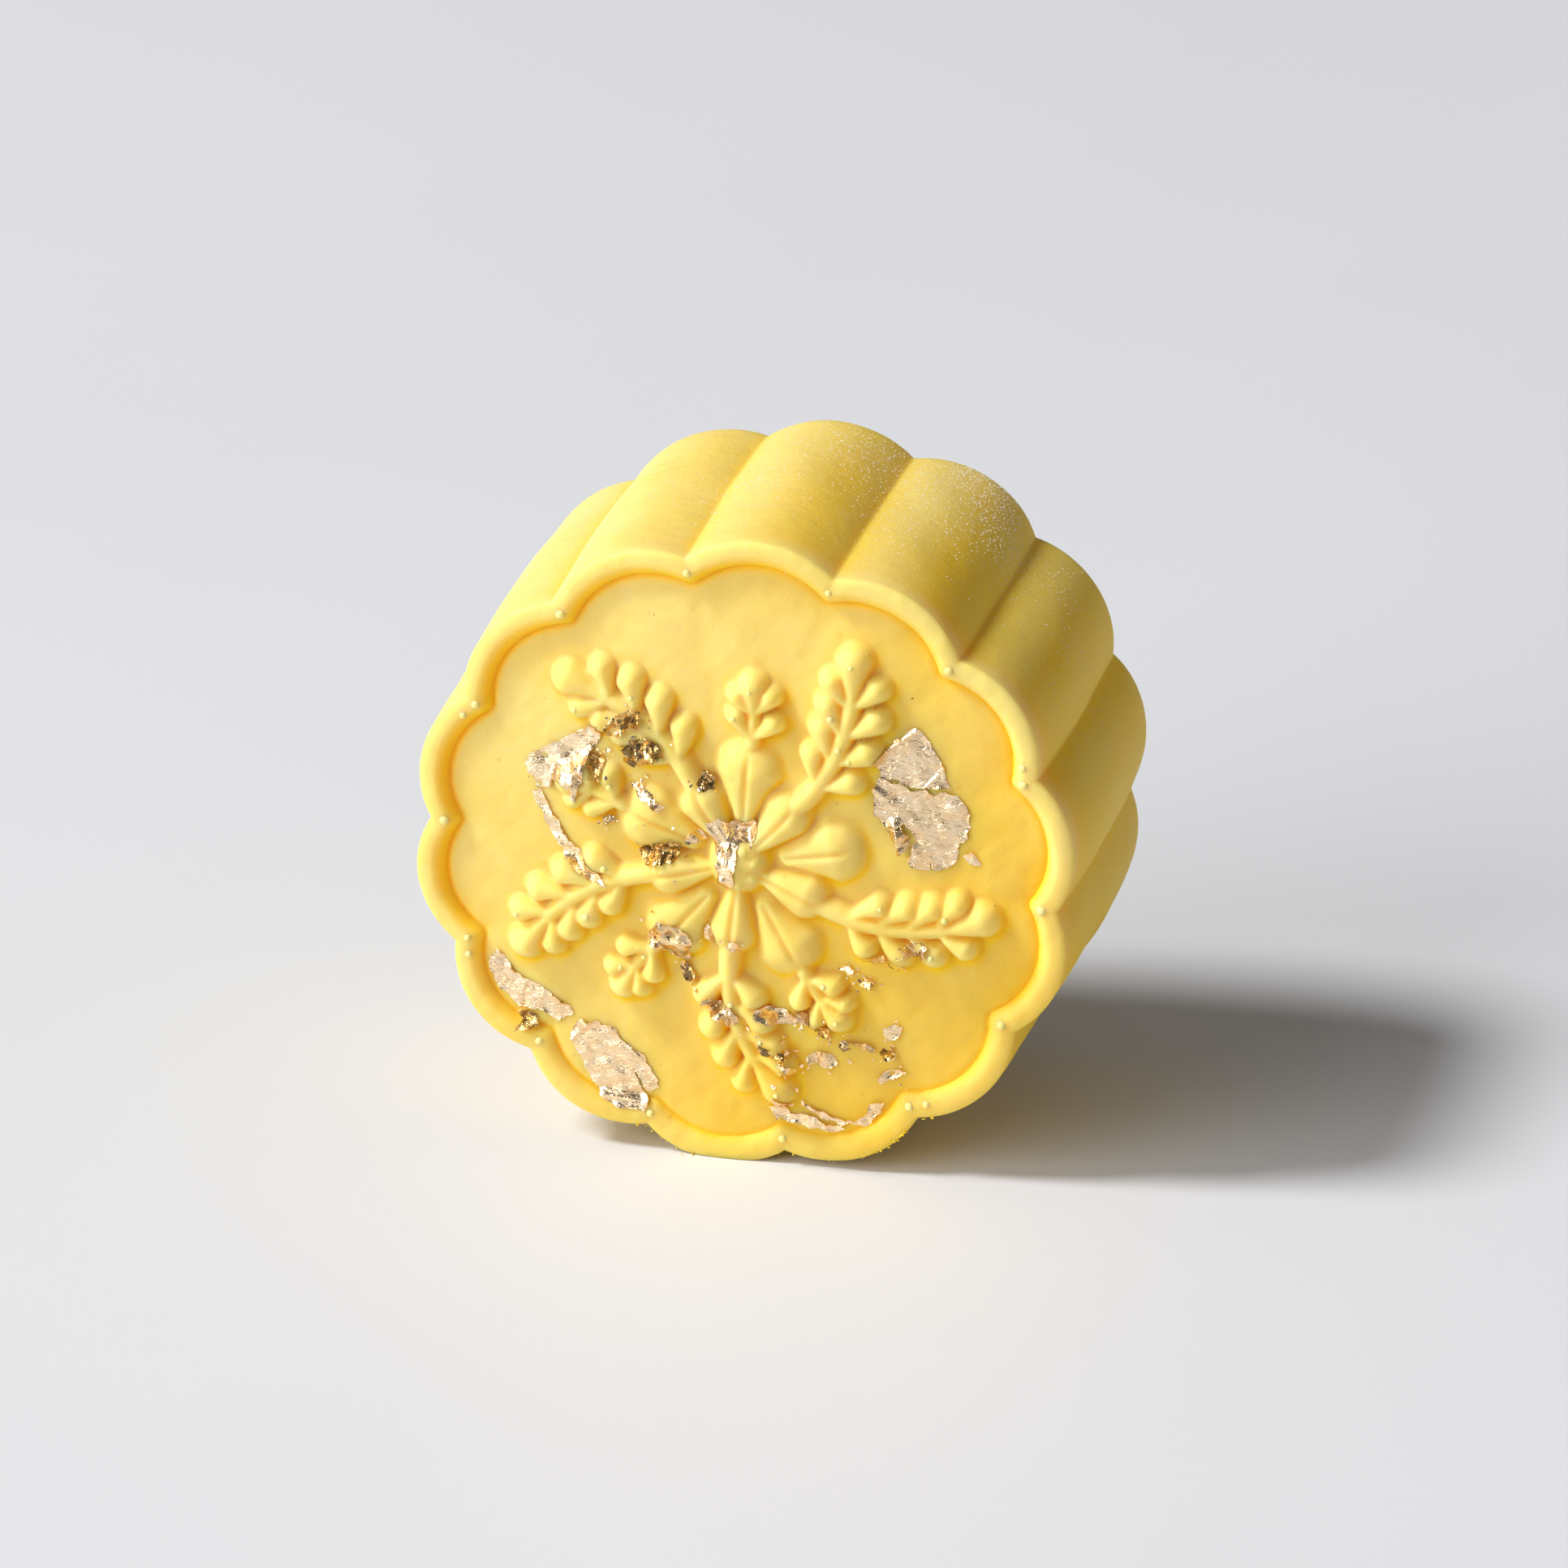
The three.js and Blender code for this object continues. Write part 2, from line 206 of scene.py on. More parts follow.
# No small sprig was pressed here: the largest flake of gold lies flat on the field.
BARE_SPOT = 4
petals, sprigs = [], []
for i in range(SPRIGS):
    angle = FIRST_SPRIG + 2 * math.pi * i / SPRIGS
    between = angle + math.pi / SPRIGS
    petals.append((Relief(out_from(between, 4.0), between, 8.4, 1.1, 3.1, 1.75, vein=0.35), 0))
    petals.append((Relief(out_from(angle, 1.9), angle, 7.4, 0.9, 2.35, 2.15, vein=0.35), 1))
    leaves = ((0.28, 4.6, 0.5, 1.35), (0.48, 4.9, 0.55, 1.45), (0.68, 4.8, 0.55, 1.42), (0.88, 4.4, 0.5, 1.3))
    sprigs += sprig(angle, 7.6, 14.5, 1.12, math.radians(46), leaves, (5.6, 0.8, 1.75), 1.7)
    if i != BARE_SPOT:
        leaves = ((0.30, 3.7, 0.45, 1.15), (0.80, 3.4, 0.45, 1.10))
        sprigs += sprig(between, 11.6, 4.9, 0.85, math.radians(16), leaves, (4.3, 0.65, 1.5), 1.4)
HEART_RADIUS, HEART_HEIGHT = 3.0, 2.3
SEED_COUNT, SEED_RING, SEED_RADIUS = 7, 1.75, 0.42


def dome(x, y, at, radius, height):
    away = np.hypot(x - at[0], y - at[1]) / radius
    return height * np.where(away < 0.9, np.sqrt(np.clip(1 - away**2, 0, None)), 0.436 - 2.06 * (away - 0.9))


def pattern_rise(x, y):
    """Height of the raised pattern above the sunk face."""
    rise = np.zeros_like(x)
    for layer in (0, 1):
        for petal, on in petals:
            if on == layer:
                rise = smooth_max(rise, petal.rise(x, y), 0.2)
    for part in sprigs:
        rise = smooth_max(rise, part.rise(x, y), 0.22)
    rise = smooth_max(rise, dome(x, y, (0, 0), HEART_RADIUS, HEART_HEIGHT), 0.25)
    for i in range(SEED_COUNT):
        at = out_from(2 * math.pi * i / SEED_COUNT + 0.3, SEED_RING)
        base = HEART_HEIGHT * 0.78
        rise = smooth_max(rise, base + dome(x, y, at, SEED_RADIUS, 0.4), 0.08)
    return smooth_max(rise, HEART_HEIGHT - 0.06 + dome(x, y, (0, 0), 0.5, 0.36), 0.08)


def rim_rise(share, angle):
    """Height of the rim above the sunk face, at a share of the way across it from its inner wall."""
    inner = np.sin(math.pi / 2 * np.clip(share, 0, RIM_TOP) / RIM_TOP) ** 0.85
    past = np.clip((share - RIM_TOP) / (1 - RIM_TOP), 0, 1)
    fall = RIM_SLOPE * past**2 + (RIM_ROUND - RIM_SLOPE) * (1 - np.sqrt(1 - past**6))
    pressed = RIM_PRESSED * np.clip(np.cos(angle - math.radians(-80)), 0, 1)
    return np.where(share < RIM_TOP, inner * (RECESS - pressed), RECESS - pressed - fall)


def face_height(x, y):
    """Height of the moulded face, measured out from the level of the rim's top."""
    angle = np.arctan2(y, x)
    share = rim_share(x, y)
    flat = np.stack([x, y], -1).reshape(-1, 2)
    swell = 0.07 * waves(flat, 9.0, 31) + 0.045 * waves(flat, 3.2, 32) + 0.016 * waves(flat, 1.0, 33)
    crown = FACE_CROWN * np.clip(1 - (np.hypot(x, y) / inner_edge(angle)) ** 2, 0, 1)
    rim = rim_rise(share, angle)
    inside = smooth_max(crown + pattern_rise(x, y), np.where(share > -0.2, rim, -1.0), 0.2)
    fold = RIM_FOLD * np.exp(-(((share + 0.03) / 0.08) ** 2))
    height = np.where(share < RIM_TOP, inside, rim) - fold
    return height - RECESS + swell.reshape(x.shape)


# The face's relief on an even grid, for finding its creases and for laying foil over it.
MAP_HALF, MAP_STEP = 33.6, 0.14
map_axis = np.arange(-MAP_HALF, MAP_HALF + MAP_STEP, MAP_STEP)
map_x, map_y = np.meshgrid(map_axis, map_axis)
relief_map = face_height(map_x, map_y)


def blurred(grid, radius):
    """A copy of a map, smoothed over this radius in millimetres."""
    freq = np.fft.fftfreq(len(grid), MAP_STEP)
    spread = np.exp(-2 * (math.pi * radius) ** 2 * (freq[:, None] ** 2 + freq[None, :] ** 2))
    return np.real(np.fft.ifft2(np.fft.fft2(grid) * spread))


def read_map(grid, x, y):
    """The map's value at any points, blended between its corners."""
    fx = np.clip((x + MAP_HALF) / MAP_STEP, 0, len(grid) - 2)
    fy = np.clip((y + MAP_HALF) / MAP_STEP, 0, len(grid) - 2)
    ix, iy = fx.astype(int), fy.astype(int)
    tx, ty = fx - ix, fy - iy
    low = grid[iy, ix] * (1 - tx) + grid[iy, ix + 1] * tx
    high = grid[iy + 1, ix] * (1 - tx) + grid[iy + 1, ix + 1] * tx
    return low * (1 - ty) + high * ty


rounded = blurred(relief_map, 0.55)
# How steeply each place falls away down to the right, from the light. The creases there are painted the
# deepest gold, as shade.
falling = 0.77 * np.gradient(rounded, MAP_STEP, axis=0) - 0.63 * np.gradient(rounded, MAP_STEP, axis=1)
crease_depth = np.clip((blurred(relief_map, 0.7) - relief_map) / 0.17, 0, 1)
crease_shade_map = crease_depth * np.clip(0.35 + 1.8 * falling, 0.15, 1)
# Where the relief stands above its surroundings: its high spots get a painted highlight.
ridge_map = np.clip((relief_map - rounded) / 0.24, 0, 1)


def standing(x, up, out):
    """Points of the standing cake, from millimetres across and up from its axis and out of its face."""
    return np.stack([AXIS.x + x * MM, AXIS.y - out * MM, AXIS.z + up * MM], -1)


def mesh_piece(name, points, faces, smooth=True):
    mesh = bpy.data.meshes.new(name)
    mesh.from_pydata(np.asarray(points).tolist(), [], faces)
    mesh.update()
    mesh.polygons.foreach_set("use_smooth", [smooth] * len(mesh.polygons))
    piece = bpy.data.objects.new(name, mesh)
    bpy.context.scene.collection.objects.link(piece)
    return piece


def add_layer(piece, name, values):
    layer = piece.data.attributes.new(name, "FLOAT", "POINT")
    layer.data.foreach_set("value", np.asarray(values, dtype=np.float32))


FACE_STEPS, RIM_STEPS = 108, 22
HALF_GRID = FACE_STEPS + RIM_STEPS
GRID_SIDE = 2 * HALF_GRID + 1
COLUMNS = 8 * HALF_GRID
SIDE_ROWS, BACK_ROUND_ROWS, BACK_ROWS = 14, 7, 4


def across_rim(angle, share):
    return inner_edge(angle) + (outer_edge(angle) - inner_edge(angle)) * share


def face_grid():
    """The face as a square net drawn out to a disc: its points, ring numbers, angles and four-sided faces."""
    steps = np.arange(-HALF_GRID, HALF_GRID + 1, dtype=float)
    a, b = (grid.ravel() for grid in np.meshgrid(steps, steps))
    ring = np.maximum(np.abs(a), np.abs(b))
    level = np.abs(a) >= np.abs(b)
    with np.errstate(divide="ignore", invalid="ignore"):
        angle = np.where(level, math.pi / 4 * b / a, math.pi / 2 - math.pi / 4 * a / b)
    angle = np.where(ring == 0, 0, angle)
    angle = angle + np.where(np.where(level, a, b) < 0, math.pi, 0)
    quarter = np.clip((ring - FACE_STEPS) / RIM_STEPS, 0, 1) * 2
    inner = RIM_TOP * (1 - np.cos(quarter * math.pi / 2))
    outer = RIM_TOP + (1 - RIM_TOP) * np.sin((quarter - 1) * math.pi / 2)
    share = np.where(quarter < 1, inner, outer)
    radius = np.where(ring <= FACE_STEPS, inner_edge(angle) * ring / FACE_STEPS, across_rim(angle, share))
    row = np.arange(GRID_SIDE - 1)
    corner = (row[:, None] * GRID_SIDE + row[None, :]).ravel()
    faces = np.stack([corner, corner + 1, corner + 1 + GRID_SIDE, corner + GRID_SIDE], -1)
    return radius * np.cos(angle), radius * np.sin(angle), ring, angle, faces


def rim_loop():
    """The numbers of the net's outermost points, in order round the cake."""
    along = np.arange(GRID_SIDE - 1)
    last = GRID_SIDE**2 - 1
    right = GRID_SIDE - 1 + GRID_SIDE * along
    left = last - along[-1] - 1 - GRID_SIDE * along
    return np.concatenate([along, right, last - along, left])


def side_rows():
    """Rows down the side and round the back edge: how far each swells out, is pulled in and lies back."""
    front, back = -RIM_ROUND, BACK_ROUND - THICKNESS
    rows = []
    for along in np.arange(1, SIDE_ROWS + 1) / SIDE_ROWS:
        swell = SIDE_BULGE * math.sin(math.pi * along) + SIDE_FLARE * along
        rows.append((swell, 0.0, front + (back - front) * along))
    for turn in math.pi / 2 * np.arange(1, BACK_ROUND_ROWS + 1) / BACK_ROUND_ROWS:
        rows.append((SIDE_FLARE, BACK_ROUND * (1 - math.cos(turn)), back - BACK_ROUND * math.sin(turn)))
    return rows


def build_cake():
    """The face's net, then rings down the side and over the back to its middle, all in one mesh."""
    x, y, ring, angle, faces = face_grid()
    share = rim_share(x, y)
    height = np.where(ring > FACE_STEPS, face_height(x, y), read_map(relief_map, x, y))
    crease_shade = np.maximum(read_map(crease_shade_map, x, y) * (share < 0.5), rim_crease_shade(share, angle))
    rings = [(x, y, height, crease_shade)]
    loop = rim_loop()
    loop_angle = np.arctan2(y[loop], x[loop])
    cosines, sines = np.cos(loop_angle), np.sin(loop_angle)
    for number, (swell, pulled_in, back) in enumerate(side_rows()):
        out = np.full(COLUMNS, back)
        radius = outer_edge(loop_angle, swell) - pulled_in
        around = np.stack([radius * cosines, radius * sines, out], -1)
        fade = min(1.0, (number + 1) / 6)
        radius = radius + fade * (0.16 * waves(around, 11.0, 41) + 0.05 * waves(around, 3.5, 42))
        settled = (height[loop] + RIM_ROUND) * 0.5 if number == 0 else 0.0
        # The grooves between the lobes get a fainter painted shade, in gold.
        rings.append((radius * cosines, radius * sines, out + settled, 0.45 * groove_depth(loop_angle)))
    last_x, last_y = rings[-1][:2]
    for i in range(1, BACK_ROWS):
        shrink = 1 - i / BACK_ROWS
        flat = np.stack([last_x * shrink, last_y * shrink], -1)
        out = -THICKNESS + 0.12 * (1 - shrink) * waves(flat, 12.0, 43)
        rings.append((flat[:, 0], flat[:, 1], out, np.zeros(COLUMNS)))
    rings.append((np.zeros(1), np.zeros(1), np.full(1, -THICKNESS + 0.1), np.zeros(1)))
    x, y, out, crease_shade = (np.concatenate(part) for part in zip(*rings))
    loops = [loop, *(GRID_SIDE**2 + np.arange(COLUMNS * (len(rings) - 2)).reshape(-1, COLUMNS))]
    all_faces = faces.tolist()
    for near, far in zip(loops, loops[1:]):
        all_faces += np.stack([near, far, np.roll(far, -1), np.roll(near, -1)], -1).tolist()
    final = loops[-1]
    all_faces += np.stack([final, np.full(COLUMNS, len(x) - 1), np.roll(final, -1)], -1).tolist()
    points = standing(x, y, out)
    points[:, 2] = smooth_max(points[:, 2] / MM, cake_low.z / MM, 0.3) * MM
    piece = mesh_piece("cake_dough", points, all_faces)
    # Layers of painted shade in the creases, of paleness that is partly dry skin and mostly painted light,
    # and of starch.
    add_layer(piece, "crease_shade", crease_shade)
    add_layer(piece, "dry_and_lit", dry_and_lit_skin(x, y, out))
    add_layer(piece, "starch", starch_cover(x, y, out))
    return piece


def rim_crease_shade(share, angle):
    """How much painted shade, in deep gold, the rim's inner wall gets, 0 to 1: a line at its foot, all of it
    at the shaded upper left.
    """
    facing_away = np.clip(0.35 + 0.9 * np.cos(angle - math.radians(140)), 0, 1)
    wall = facing_away * np.exp(-(((share - 0.12) / 0.26) ** 2))
    return np.maximum(wall, 0.9 * np.exp(-(((share + 0.01) / 0.10) ** 2)))


def groove_depth(angle):
    """How deep in a groove between two lobes a place on the side is, from 0 to 1."""
    from_lowest = settle(angle) - LOWEST_LOBE
    off_groove = LOBE_PITCH / 2 - np.abs(from_lowest - LOBE_PITCH * np.round(from_lowest / LOBE_PITCH))
    return np.exp(-((off_groove * LOBE_CREST / 0.8) ** 2))


def dry_and_lit_skin(x, y, out):
    """How pale the skin is at points, from 0 to 1: partly dry skin, mostly painted light, most on the rim,
    high spots and the lit upper left.
    """
    points = np.stack([x, y, out], -1)
    angle = np.arctan2(y, x)
    # Painted light on the sides: paler towards the lit upper left, a deeper yellow towards the shaded right,
    # with some random unevenness.
    side = 0.40 + 0.75 * (0.30 * y - 0.95 * x) / LOBE_CREST + 0.08 * waves(points, 7.0, 51)
    on_lobes = np.clip((np.hypot(x, y) - 26) / 4, 0, 1)
    # Painted light and shade: on each lobe the flank that faces the light is paler, the flank that faces away
    # a deeper yellow.
    side = side + 0.4 * on_lobes * across_lobe(angle) * np.cos(angle - math.radians(39))
    on_face = np.clip(1 + out / 2.5, 0, 1)
    # Painted light on the face: paler towards the lit upper left, with some random unevenness.
    face = 0.72 + (0.34 * y - 0.12 * x) / LOBE_CREST + 0.10 * waves(points, 7.0, 51)
    # Painted highlight: the high spots and the rim are paler.
    face = face + 0.3 * read_map(ridge_map, x, y) + 0.16 * np.clip(rim_share(x, y) / 0.3, 0, 1)
    return np.clip(side + (face - side) * on_face, 0, 1)


def across_lobe(angle):
    """Which flank of its lobe a place is on: 0 at the crest and in a groove, 1 or -1 halfway between them."""
    turns = (settle(angle) - LOWEST_LOBE) / LOBE_PITCH
    return np.sin(2 * math.pi * (turns - np.round(turns)))


# Patches of starch left from the mould: angle round the cake, how far back from the face, spread, strength.
STARCH_PATCHES = (
    (59, 31.5, 3.8, 1.0), (56, 25.0, 5.0, 0.5), (80, 28.0, 5.5, 0.55),
    (44, 24.0, 6.0, 0.22), (68, 16.0, 6.5, 0.3), (97, 14.0, 4.5, 0.35),
    (28, 15.0, 7.0, 0.08), (205, 20.0, 7.0, 0.25), (300, 25.0, 8.0, 0.2),
)


def starch_cover(x, y, out):
    """How much starch lies on the cake's side at points, from 0 to 1."""
    angle, radius = np.arctan2(y, x), np.hypot(x, y)
    cover = np.zeros_like(x)
    for turn, depth, spread, strength in STARCH_PATCHES:
        off = angle - math.radians(turn)
        around = np.arctan2(np.sin(off), np.cos(off)) * LOBE_CREST
        cover += strength * np.exp(-(around**2 + (out + depth) ** 2) / (2 * spread**2) * 1.4)
    return np.clip(cover, 0, 1) * np.clip((radius - 26) / 3, 0, 1) * np.clip(-out / 3, 0, 1)


def node_group(name, inputs, outputs):
    """An empty shader group. Inputs are (name, kind, value) and outputs are (name, kind)."""
    group = bpy.data.node_groups.new(name, "ShaderNodeTree")
    for label, kind, value in inputs:
        group.interface.new_socket(label, in_out="INPUT", socket_type=kind).default_value = value
    for label, kind in outputs:
        group.interface.new_socket(label, in_out="OUTPUT", socket_type=kind)
    return group, group.nodes.new("NodeGroupInput").outputs, group.nodes.new("NodeGroupOutput").inputs


def put(tree, kind, links=(), **settings):
    """Adds a shader node to a tree, sets its properties and joins or sets its inputs."""
    node = tree.nodes.new("ShaderNode" + kind)
    for label, value in settings.items():
        setattr(node, label, value)
    for socket, value in dict(links).items():
        if isinstance(value, bpy.types.NodeSocket):
            tree.links.new(value, node.inputs[socket])
        else:
            node.inputs[socket].default_value = value
    return node


def mixed(tree, share, first, second):
    """Two colours mixed, with this share of the second."""
    node = put(tree, "Mix", data_type="RGBA")
    for socket, value in zip((node.inputs[0], node.inputs[6], node.inputs[7]), (share, first, second)):
        if isinstance(value, bpy.types.NodeSocket):
            tree.links.new(value, socket)
        else:
            socket.default_value = value
    return node.outputs[2]


def calc(tree, operation, first, second=0.0):
    return put(tree, "Math", {0: first, 1: second}, operation=operation).outputs[0]


def ramp(tree, value, low, high, first=0.0, last=1.0, kind="LINEAR"):
    """Turns a value into one that goes from first, where the value is low, to last, where it is high."""
    ends = {"Value": value, "From Min": low, "From Max": high, "To Min": first, "To Max": last}
    return put(tree, "MapRange", ends, interpolation_type=kind).outputs[0]


def clouds(tree, place, scale, detail):
    """Soft uneven patches, from 0 to 1."""
    return put(tree, "TexNoise", {"Vector": place, "Scale": scale, "Detail": detail}).outputs[0]


def cells(tree, place, scale):
    """Scattered cells: how far places are from their middles, and three numbers that each cell draws."""
    found = put(tree, "TexVoronoi", {"Vector": place, "Scale": scale})
    return found.outputs["Distance"], put(tree, "SeparateColor", {0: found.outputs["Color"]}).outputs


def dough_grain():
    """The dough's own unevenness: soft mottling, small flecks, and fine pits and grain as a height."""
    group, given, made = node_group(
        "dough_grain",
        [("Scale", "NodeSocketFloat", 1.0)],
        [("Mottle", "NodeSocketFloat"), ("Fleck", "NodeSocketFloat"), ("Height", "NodeSocketFloat")],
    )
    place = put(group, "TexCoord").outputs["Object"]
    place = put(group, "VectorMath", {0: place, "Scale": given["Scale"]}, operation="SCALE").outputs[0]
    broad = clouds(group, place, 150.0, 3.0)
    fine = clouds(group, place, 640.0, 4.0)
    grain = clouds(group, place, 2600.0, 3.0)
    mottle = calc(group, "ADD", calc(group, "MULTIPLY", broad, 0.65), calc(group, "MULTIPLY", fine, 0.35))
    group.links.new(mottle, made["Mottle"])
    from_fleck, fleck_draw = cells(group, place, 420.0)
    fleck = ramp(group, from_fleck, 0.05, 0.13, 1.0, 0.0, "SMOOTHSTEP")
    rare = calc(group, "GREATER_THAN", fleck_draw[0], 0.80)
    group.links.new(calc(group, "MULTIPLY", fleck, rare), made["Fleck"])
    from_pit, pit_draw = cells(group, place, 900.0)
    pit = ramp(group, from_pit, 0.02, 0.22, kind="SMOOTHSTEP")
    pit = calc(group, "MAXIMUM", pit, calc(group, "LESS_THAN", pit_draw[1], 0.86))
    height = calc(group, "MULTIPLY", fine, 1.9)
    for part, share in ((grain, 0.45), (broad, 3.0), (pit, 0.8)):
        height = calc(group, "ADD", height, calc(group, "MULTIPLY", part, share))
    group.links.new(height, made["Height"])
    return group


# The moist skin, also painted shade; the dry skin, also painted light; the creases' painted shade; greener
# patches; darker flecks.
DOUGH_MOIST_AND_SHADED = (0.87, 0.535, 0.020, 1)
DOUGH_DRY_AND_LIT = (0.83, 0.655, 0.21, 1)
DOUGH_CREASE_SHADE = (0.99, 0.62, 0.006, 1)
DOUGH_GREEN = (0.78, 0.57, 0.08, 1)
DOUGH_FLECK = (0.70, 0.38, 0.03, 1)
STARCH_WHITE = (0.88, 0.85, 0.74, 1)
grain_group = dough_grain()


def shaded(name):
    """A new material with nothing but its Principled shader: the material's tree and that shader."""
    material = bpy.data.materials.new(name)
    material.use_nodes = True
    return material, material.node_tree, material.node_tree.nodes["Principled BSDF"]


def dough_material(name, scatter, dry_and_lit_colour):
    """Rice dough. Light sinks into it about as far as scatter, in metres."""
    material, tree, skin = shaded(name)
    grain = put(tree, "Group", node_tree=grain_group).outputs
    layers = ("crease_shade", "dry_and_lit", "starch")
    crease_shade, dry_and_lit, starch = (put(tree, "Attribute", attribute_name=layer).outputs["Fac"] for layer in layers)
    # Painted light and shade: the dry colour also stands for lit skin, the moist for shaded skin, and the
    # creases get a painted shade in deep gold.
    colour = mixed(tree, crease_shade, mixed(tree, dry_and_lit, DOUGH_MOIST_AND_SHADED, dry_and_lit_colour), DOUGH_CREASE_SHADE)
    colour = mixed(tree, ramp(tree, grain["Mottle"], 0.42, 0.66, 0.0, 0.35), colour, DOUGH_GREEN)
    colour = mixed(tree, calc(tree, "MULTIPLY", grain["Fleck"], 0.35), colour, DOUGH_FLECK)
    place = put(tree, "TexCoord").outputs["Object"]
    from_dot, dot_draw = cells(tree, place, 4300.0)
    here = calc(tree, "LESS_THAN", dot_draw[0], calc(tree, "MULTIPLY", starch, 0.7))
    dots = calc(tree, "SUBTRACT", 1.0, ramp(tree, from_dot, 0.20, 0.36))
    dots = calc(tree, "MULTIPLY", calc(tree, "MULTIPLY", dots, here), 0.75)
    film = calc(tree, "MULTIPLY", calc(tree, "MULTIPLY", starch, starch), 0.08)
    cover = calc(tree, "MAXIMUM", dots, film)
    tree.links.new(mixed(tree, cover, colour, STARCH_WHITE), skin.inputs["Base Color"])
    rough = ramp(tree, grain["Mottle"], 0.0, 1.0, 0.46, 0.62)
    rough = calc(tree, "ADD", rough, calc(tree, "MULTIPLY", cover, 0.3))
    tree.links.new(rough, skin.inputs["Roughness"])
    bump = put(tree, "Bump", {"Strength": 0.7, "Distance": 0.0001, "Height": grain["Height"]})
    tree.links.new(bump.outputs[0], skin.inputs["Normal"])
    skin.inputs["IOR"].default_value = 1.42
    skin.inputs["Specular IOR Level"].default_value = 0.35
    skin.inputs["Subsurface Weight"].default_value = 0.85
    skin.inputs["Subsurface Radius"].default_value = (1.0, 0.72, 0.10)
    skin.inputs["Subsurface Scale"].default_value = scatter
    return material


cake = build_cake()
cake.data.materials.append(dough_material("rice_dough", 0.003, DOUGH_DRY_AND_LIT))
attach(cake, "root")
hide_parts("mooncake")


# ------------------------------------------------------------------------------
# Pips. Small round beads of the same dough, where it was pressed into the mould's air holes: one or two on
# the rim beside each groove, and some on the sprigs and their leaves.
# ------------------------------------------------------------------------------
PIP_SIDES, PIP_RINGS = 14, 6
PIP_RING, SECOND_PIP_RING = 29.3, 29.9
DOUBLED_PIPS = (1, 4, 9, 11)
SMALL_DRY = (0.94, 0.79, 0.33, 1)


def pip_places():
    """Where the pips are on the face, and their sizes."""
    places = []
    draw = random.Random(5)
    for i in range(LOBES):
        angle = LOWEST_LOBE + LOBE_PITCH * (i + 0.5)
        groove = angle + (angle - settle(angle))
        places.append((*out_from(groove, PIP_RING), draw.uniform(0.36, 0.50)))
        if i in DOUBLED_PIPS:
            places.append((*out_from(groove + 0.055, SECOND_PIP_RING), 0.38))
    for part in sprigs[::3]:
        share = draw.uniform(0.35, 0.8)
        places.append((*part.point(share * part.length), draw.uniform(0.24, 0.36)))
    return places


def build_pips():
    """Rounded domes standing a little out of the face."""
    points, faces = [], []
    for x, y, radius in pip_places():
        foot = float(read_map(relief_map, np.array([x]), np.array([y]))[0]) - 0.4 * radius
        start = len(points)
        for ring in range(PIP_RINGS):
            tilt = math.pi / 2 * ring / PIP_RINGS
            for side in range(PIP_SIDES):
                dx, dy = out_from(2 * math.pi * side / PIP_SIDES, radius * math.cos(tilt))
                points.append((x + dx, y + dy, foot + radius * math.sin(tilt)))
                if ring:
                    after = (side + 1) % PIP_SIDES
                    low, high = start + (ring - 1) * PIP_SIDES, start + ring * PIP_SIDES
                    faces.append((low + side, low + after, high + after, high + side))
        points.append((x, y, foot + radius))
        last = start + (PIP_RINGS - 1) * PIP_SIDES
        faces += [(last + side, last + (side + 1) % PIP_SIDES, len(points) - 1) for side in range(PIP_SIDES)]
        faces.append(tuple(start + side for side in reversed(range(PIP_SIDES))))
    x, y, out = np.array(points).T
    pips = mesh_piece("dough_pips", standing(x, y, out), faces)
    add_layer(pips, "dry_and_lit", np.ones(len(points)))
    return pips


dough_pips = build_pips()
small_dough = dough_material("rice_dough_bits", 0.0004, SMALL_DRY)
dough_pips.data.materials.append(small_dough)
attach(dough_pips, "root")


# ------------------------------------------------------------------------------
# Loose starch. Grains of cooked flour that the cake was dusted with so that it left the mould. They cling to
# the upper lobes, thickest near the back edge, with a few stray ones elsewhere.
# ------------------------------------------------------------------------------
GRAIN_COUNT = 6000
GRAIN_SIZES = (0.02, 0.025, 0.03, 0.035, 0.045, 0.08)
STARCH_SHADED, STARCH_BRIGHT = (0.80, 0.74, 0.55, 1), (0.95, 0.94, 0.88, 1)
STONE_SIDES = ((0, 2, 4), (2, 1, 4), (1, 3, 4), (3, 0, 4), (2, 0, 5), (1, 2, 5), (3, 1, 5), (0, 3, 5))


def small_stone(draw, size):
    """The corners of a rough eight-sided grain."""
    corners = [Vector(c) for c in ((1, 0, 0), (-1, 0, 0), (0, 1, 0), (0, -1, 0), (0, 0, 1), (0, 0, -1))]
    return [c * size * draw.uniform(0.6, 1.15) for c in corners]


def add_stone(points, faces, place, corners):
    """Adds a grain with these corners to a mesh's points and faces."""
    start = len(points)
    points += [place + corner for corner in corners]
    faces += [tuple(start + corner for corner in side) for side in STONE_SIDES]


def build_starch():
    draw = random.Random(11)
    mesh = cake.data
    cover = np.zeros(len(mesh.vertices), dtype=np.float32)
    mesh.attributes["starch"].data.foreach_get("value", cover)
    four_sided = [face for face in mesh.polygons if len(face.vertices) == 4]
    chances = np.array([cover[list(face.vertices)].mean() ** 1.3 * face.area for face in four_sided])
    picks = np.random.default_rng(12).choice(len(four_sided), GRAIN_COUNT, p=chances / chances.sum())
    points, faces = [], []
    for pick in picks:
        face = four_sided[pick]
        a, b, c, d = (mesh.vertices[corner].co for corner in face.vertices)
        along, across = draw.random(), draw.random()
        place = a.lerp(b, along).lerp(d.lerp(c, along), across)
        size = draw.choice(GRAIN_SIZES) * MM
        add_stone(points, faces, place + face.normal * size * 0.4, small_stone(draw, size))
    return mesh_piece("starch_grains", [tuple(p) for p in points], faces, smooth=False)


